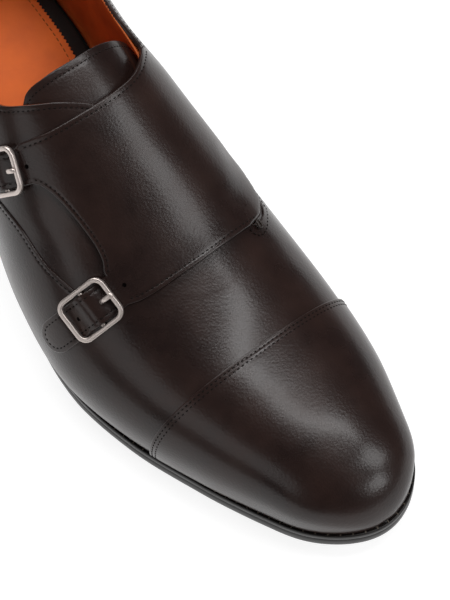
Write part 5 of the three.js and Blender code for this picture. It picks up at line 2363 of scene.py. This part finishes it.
@dataclass
class StrapHoles(UpperPart):
    """The round holes punched in the straps, each a near-black dot of painted shade with a pressed lip."""

    radius: float = 0.66
    sides: int = 20
    # The hole in front of the front strap's root: station, millimetres round from the ridge.
    place: Pair = (183.2, -25.1)
    # Holes on each strap: distance along it.
    along: tuple[tuple[StrapPlan, float], ...] = ((FRONT_STRAP, 5.6), (REAR_STRAP, 5.6), (REAR_STRAP, -11.3))
    # Rings from the lip to the middle, all in the painted shade: share of the radius, height over the strap's
    # face.
    profile: Rows = ((1.25, -0.05), (1.1, 0.12), (0.95, 0.12), (0.8, 0.03), (0.4, 0.03))

    def build(self) -> Mesh:
        """Makes one mesh of all the holes.

        Returns:
            The dressed piece.
        """
        spots = [(self.place[0], float(self.last.share(*self.place)), 0.0)]
        for plan, distance in self.along:
            w, v = plan.place(self.last, np.array([distance]), np.array([0.0]))
            spots.append((w[0], v[0], plan.rise(distance)))
        share, height = np.array(self.profile).T[:, :, None, None]
        angle = 2.0 * math.pi * np.arange(self.sides)[:, None] / self.sides
        points, faces = [], []
        for w, v, lift in spots:
            here, normals = self.last.surface(np.array([w, w + 0.5]), np.array([v, v]))
            ahead = unit(here[1] - here[0])
            out = ahead * np.cos(angle) + np.cross(normals[0], ahead) * np.sin(angle)
            rings = here[0] + normals[0] * (FLAP_FACE + lift + height) + out * (self.radius * share)
            ids = np.arange(rings.size // 3).reshape(rings.shape[:2]) + len(points) * rings.size // 3
            faces += grid_faces(ids, around=True)
            faces += [tuple(ids[-1].tolist()), tuple(ids[0, ::-1].tolist())]
            points.append(rings.reshape(-1, 3))
        piece = mesh_object("strap_holes", to_metres(self.last, np.concatenate(points)), faces)
        # Lip and middle alike take the near-black painted shade of the hole.
        return place_piece(piece, self.finishes.punched, "upper_leather")


# ---- The studio ----


def direction(azimuth: float, elevation: float) -> Vector:
    """Unit direction at an azimuth from +x and an elevation, in degrees."""
    az, el = math.radians(azimuth), math.radians(elevation)
    return Vector((math.cos(az) * math.cos(el), math.sin(az) * math.cos(el), math.sin(el)))


@dataclass
class SoftBox:
    """One soft light: where it hangs round the shoe, how large and how strong it is."""

    name: str
    azimuth: float
    elevation: float
    distance: float
    width: float
    height: float
    power: float

    def build(self, target: Vector) -> None:
        """Hangs the light.

        Args:
            target: The point it faces, in metres.
        """
        light = bpy.data.lights.new(self.name, "AREA")
        light.shape = "RECTANGLE"
        light.size, light.size_y = self.width, self.height
        light.energy = self.power
        way = direction(self.azimuth, self.elevation)
        lamp = bpy.data.objects.new(self.name, light)
        turn = way.to_track_quat("Z", "Y").to_matrix().to_4x4()
        lamp.matrix_world = Matrix.Translation(target + way * self.distance) @ turn
        bpy.context.scene.collection.objects.link(lamp)


@dataclass
class Studio:
    """White paper floor, a bright horizon under a dark ceiling, soft boxes and the camera."""

    floor_size: float = 8.0
    target: tuple[float, float, float] = (0.04507, 0.01408, 0.030)
    azimuth: float = 55.0
    elevation: float = 63.058
    roll: float = 0.09
    distance: float = 1.03898
    lens: float = 167.0
    sensor: float = 36.0
    horizon: float = 0.1
    ceiling: float = 0.07
    # What the soft boxes face, in metres: the middle of the shoe, or its rear quarter.
    middle: tuple[float, float, float] = (0.02, 0.0, 0.04)
    quarter: tuple[float, float, float] = (-0.05, 0.0, 0.05)

    def build(self) -> None:
        """Makes the floor, lights and camera."""
        self._floor()
        self._world()
        self._camera()
        for box, aim in (
            (SoftBox("overhead_strip", 60, 76.5, 1.3, 0.17, 0.88, 5.4), self.middle),
            (SoftBox("front_box", 40, 43.0, 1.3, 0.36, 0.46, 3.0), self.middle),
            (SoftBox("toe_box", 22, 23.0, 1.3, 0.26, 0.34, 1.9), self.middle),
            (SoftBox("side_fill", -74, 28, 0.9, 0.6, 0.36, 0.85), self.quarter),
            (SoftBox("rear_box", 165, 48, 1.3, 1.0, 0.8, 15.0), self.quarter),
        ):
            box.build(Vector(aim))

    def _floor(self) -> None:
        """Lays the paper floor."""
        work = bmesh.new()
        bmesh.ops.create_grid(work, x_segments=8, y_segments=8, size=self.floor_size / 2.0)
        mesh = bpy.data.meshes.new("paper_floor")
        work.to_mesh(mesh)
        work.free()
        floor = bpy.data.objects.new("paper_floor", mesh)
        bpy.context.scene.collection.objects.link(floor)
        floor.data.materials.append(WhitePaper().make())

    def _world(self) -> None:
        """Surrounds the shoe with light that is bright low down and dim above."""
        world = bpy.data.worlds.new("studio")
        bpy.context.scene.world = world
        world.use_nodes = True
        tree = world.node_tree
        tree.nodes.clear()
        way = add_node(tree, "TexCoord").outputs["Generated"]
        parts = add_node(tree, "SeparateXYZ", links={0: way})
        fall = add_node(tree, "MapRange", {"From Min": 0.05, "From Max": 0.5, "To Min": self.horizon,
                                           "To Max": self.ceiling, "interpolation_type": "SMOOTHSTEP"},
                        {"Value": parts.outputs["Z"]})
        sky = add_node(tree, "Background", {"Color": (1.0, 1.0, 1.0, 1.0)}, {"Strength": fall.outputs[0]})
        add_node(tree, "OutputWorld", links={"Surface": sky.outputs[0]})

    def _camera(self) -> None:
        """Sets the camera at its angle to the shoe."""
        camera = bpy.data.cameras.new("camera")
        camera.lens, camera.sensor_width = self.lens, self.sensor
        camera.dof.use_dof = False
        back, roll = direction(self.azimuth - 90.0, self.elevation), math.radians(self.roll)
        right = Vector(UP).cross(back).normalized()
        up = back.cross(right)
        right, up = right * math.cos(roll) + up * math.sin(roll), up * math.cos(roll) - right * math.sin(roll)
        view = bpy.data.objects.new("camera", camera)
        turn = Matrix((right, up, back)).transposed().to_4x4()
        view.matrix_world = Matrix.Translation(Vector(self.target) + back * self.distance) @ turn
        bpy.context.scene.collection.objects.link(view)
        bpy.context.scene.camera = view


def sew(last: Last, finishes: Finishes, parts: Sequence[UpperPart]) -> None:
    """Sews the upper's rows, and the bar tack at the flap's medial foot.

    Args:
        last: The form.
        finishes: The shoe's finishes.
        parts: The parts that have sewn rows.
    """
    thread = Stitching("upper_stitches", last)
    for line, height in [row for part in parts for row in part.rows()]:
        thread.row(line, height)
    thread.row(Line.through(last, TACK_ROW, 60), level(VAMP_FACE))
    place_piece(thread.build(), finishes.thread, "thread")
    tack = Stitching("bar_tack", last, radius=0.33)
    tack.tack(*TACK, height=VAMP_FACE + TACK_RISE)
    place_piece(tack.build(), finishes.tack_thread, "thread")


def main() -> None:
    """Builds the shoe's pieces in order, then the studio."""
    logging.basicConfig(level=logging.INFO, format="%(name)s: %(message)s")
    bpy.context.scene.view_settings.view_transform = "Standard"
    last, finishes = Last(), Finishes()
    sewn = [kind(last, finishes) for kind in (Vamp, ToeCap, LateralQuarter, MedialQuarterAndStraps, Tongue)]
    for part in (*sewn, Lining(last, finishes), BackStrip(last, finishes)):
        part.build()
    sew(last, finishes, sewn)
    bottom = Bottom(last)
    welt = Welt(bottom, finishes)
    welt.build()
    welt.stitches()
    for kind in (Outsole, Heel, Footbed):
        kind(bottom, finishes).build()
    for plan in (FRONT_STRAP, REAR_STRAP):
        Buckle(plan, last, finishes).build()
    StrapHoles(last, finishes).build()
    Studio().build()


if __name__ == "__main__":
    main()
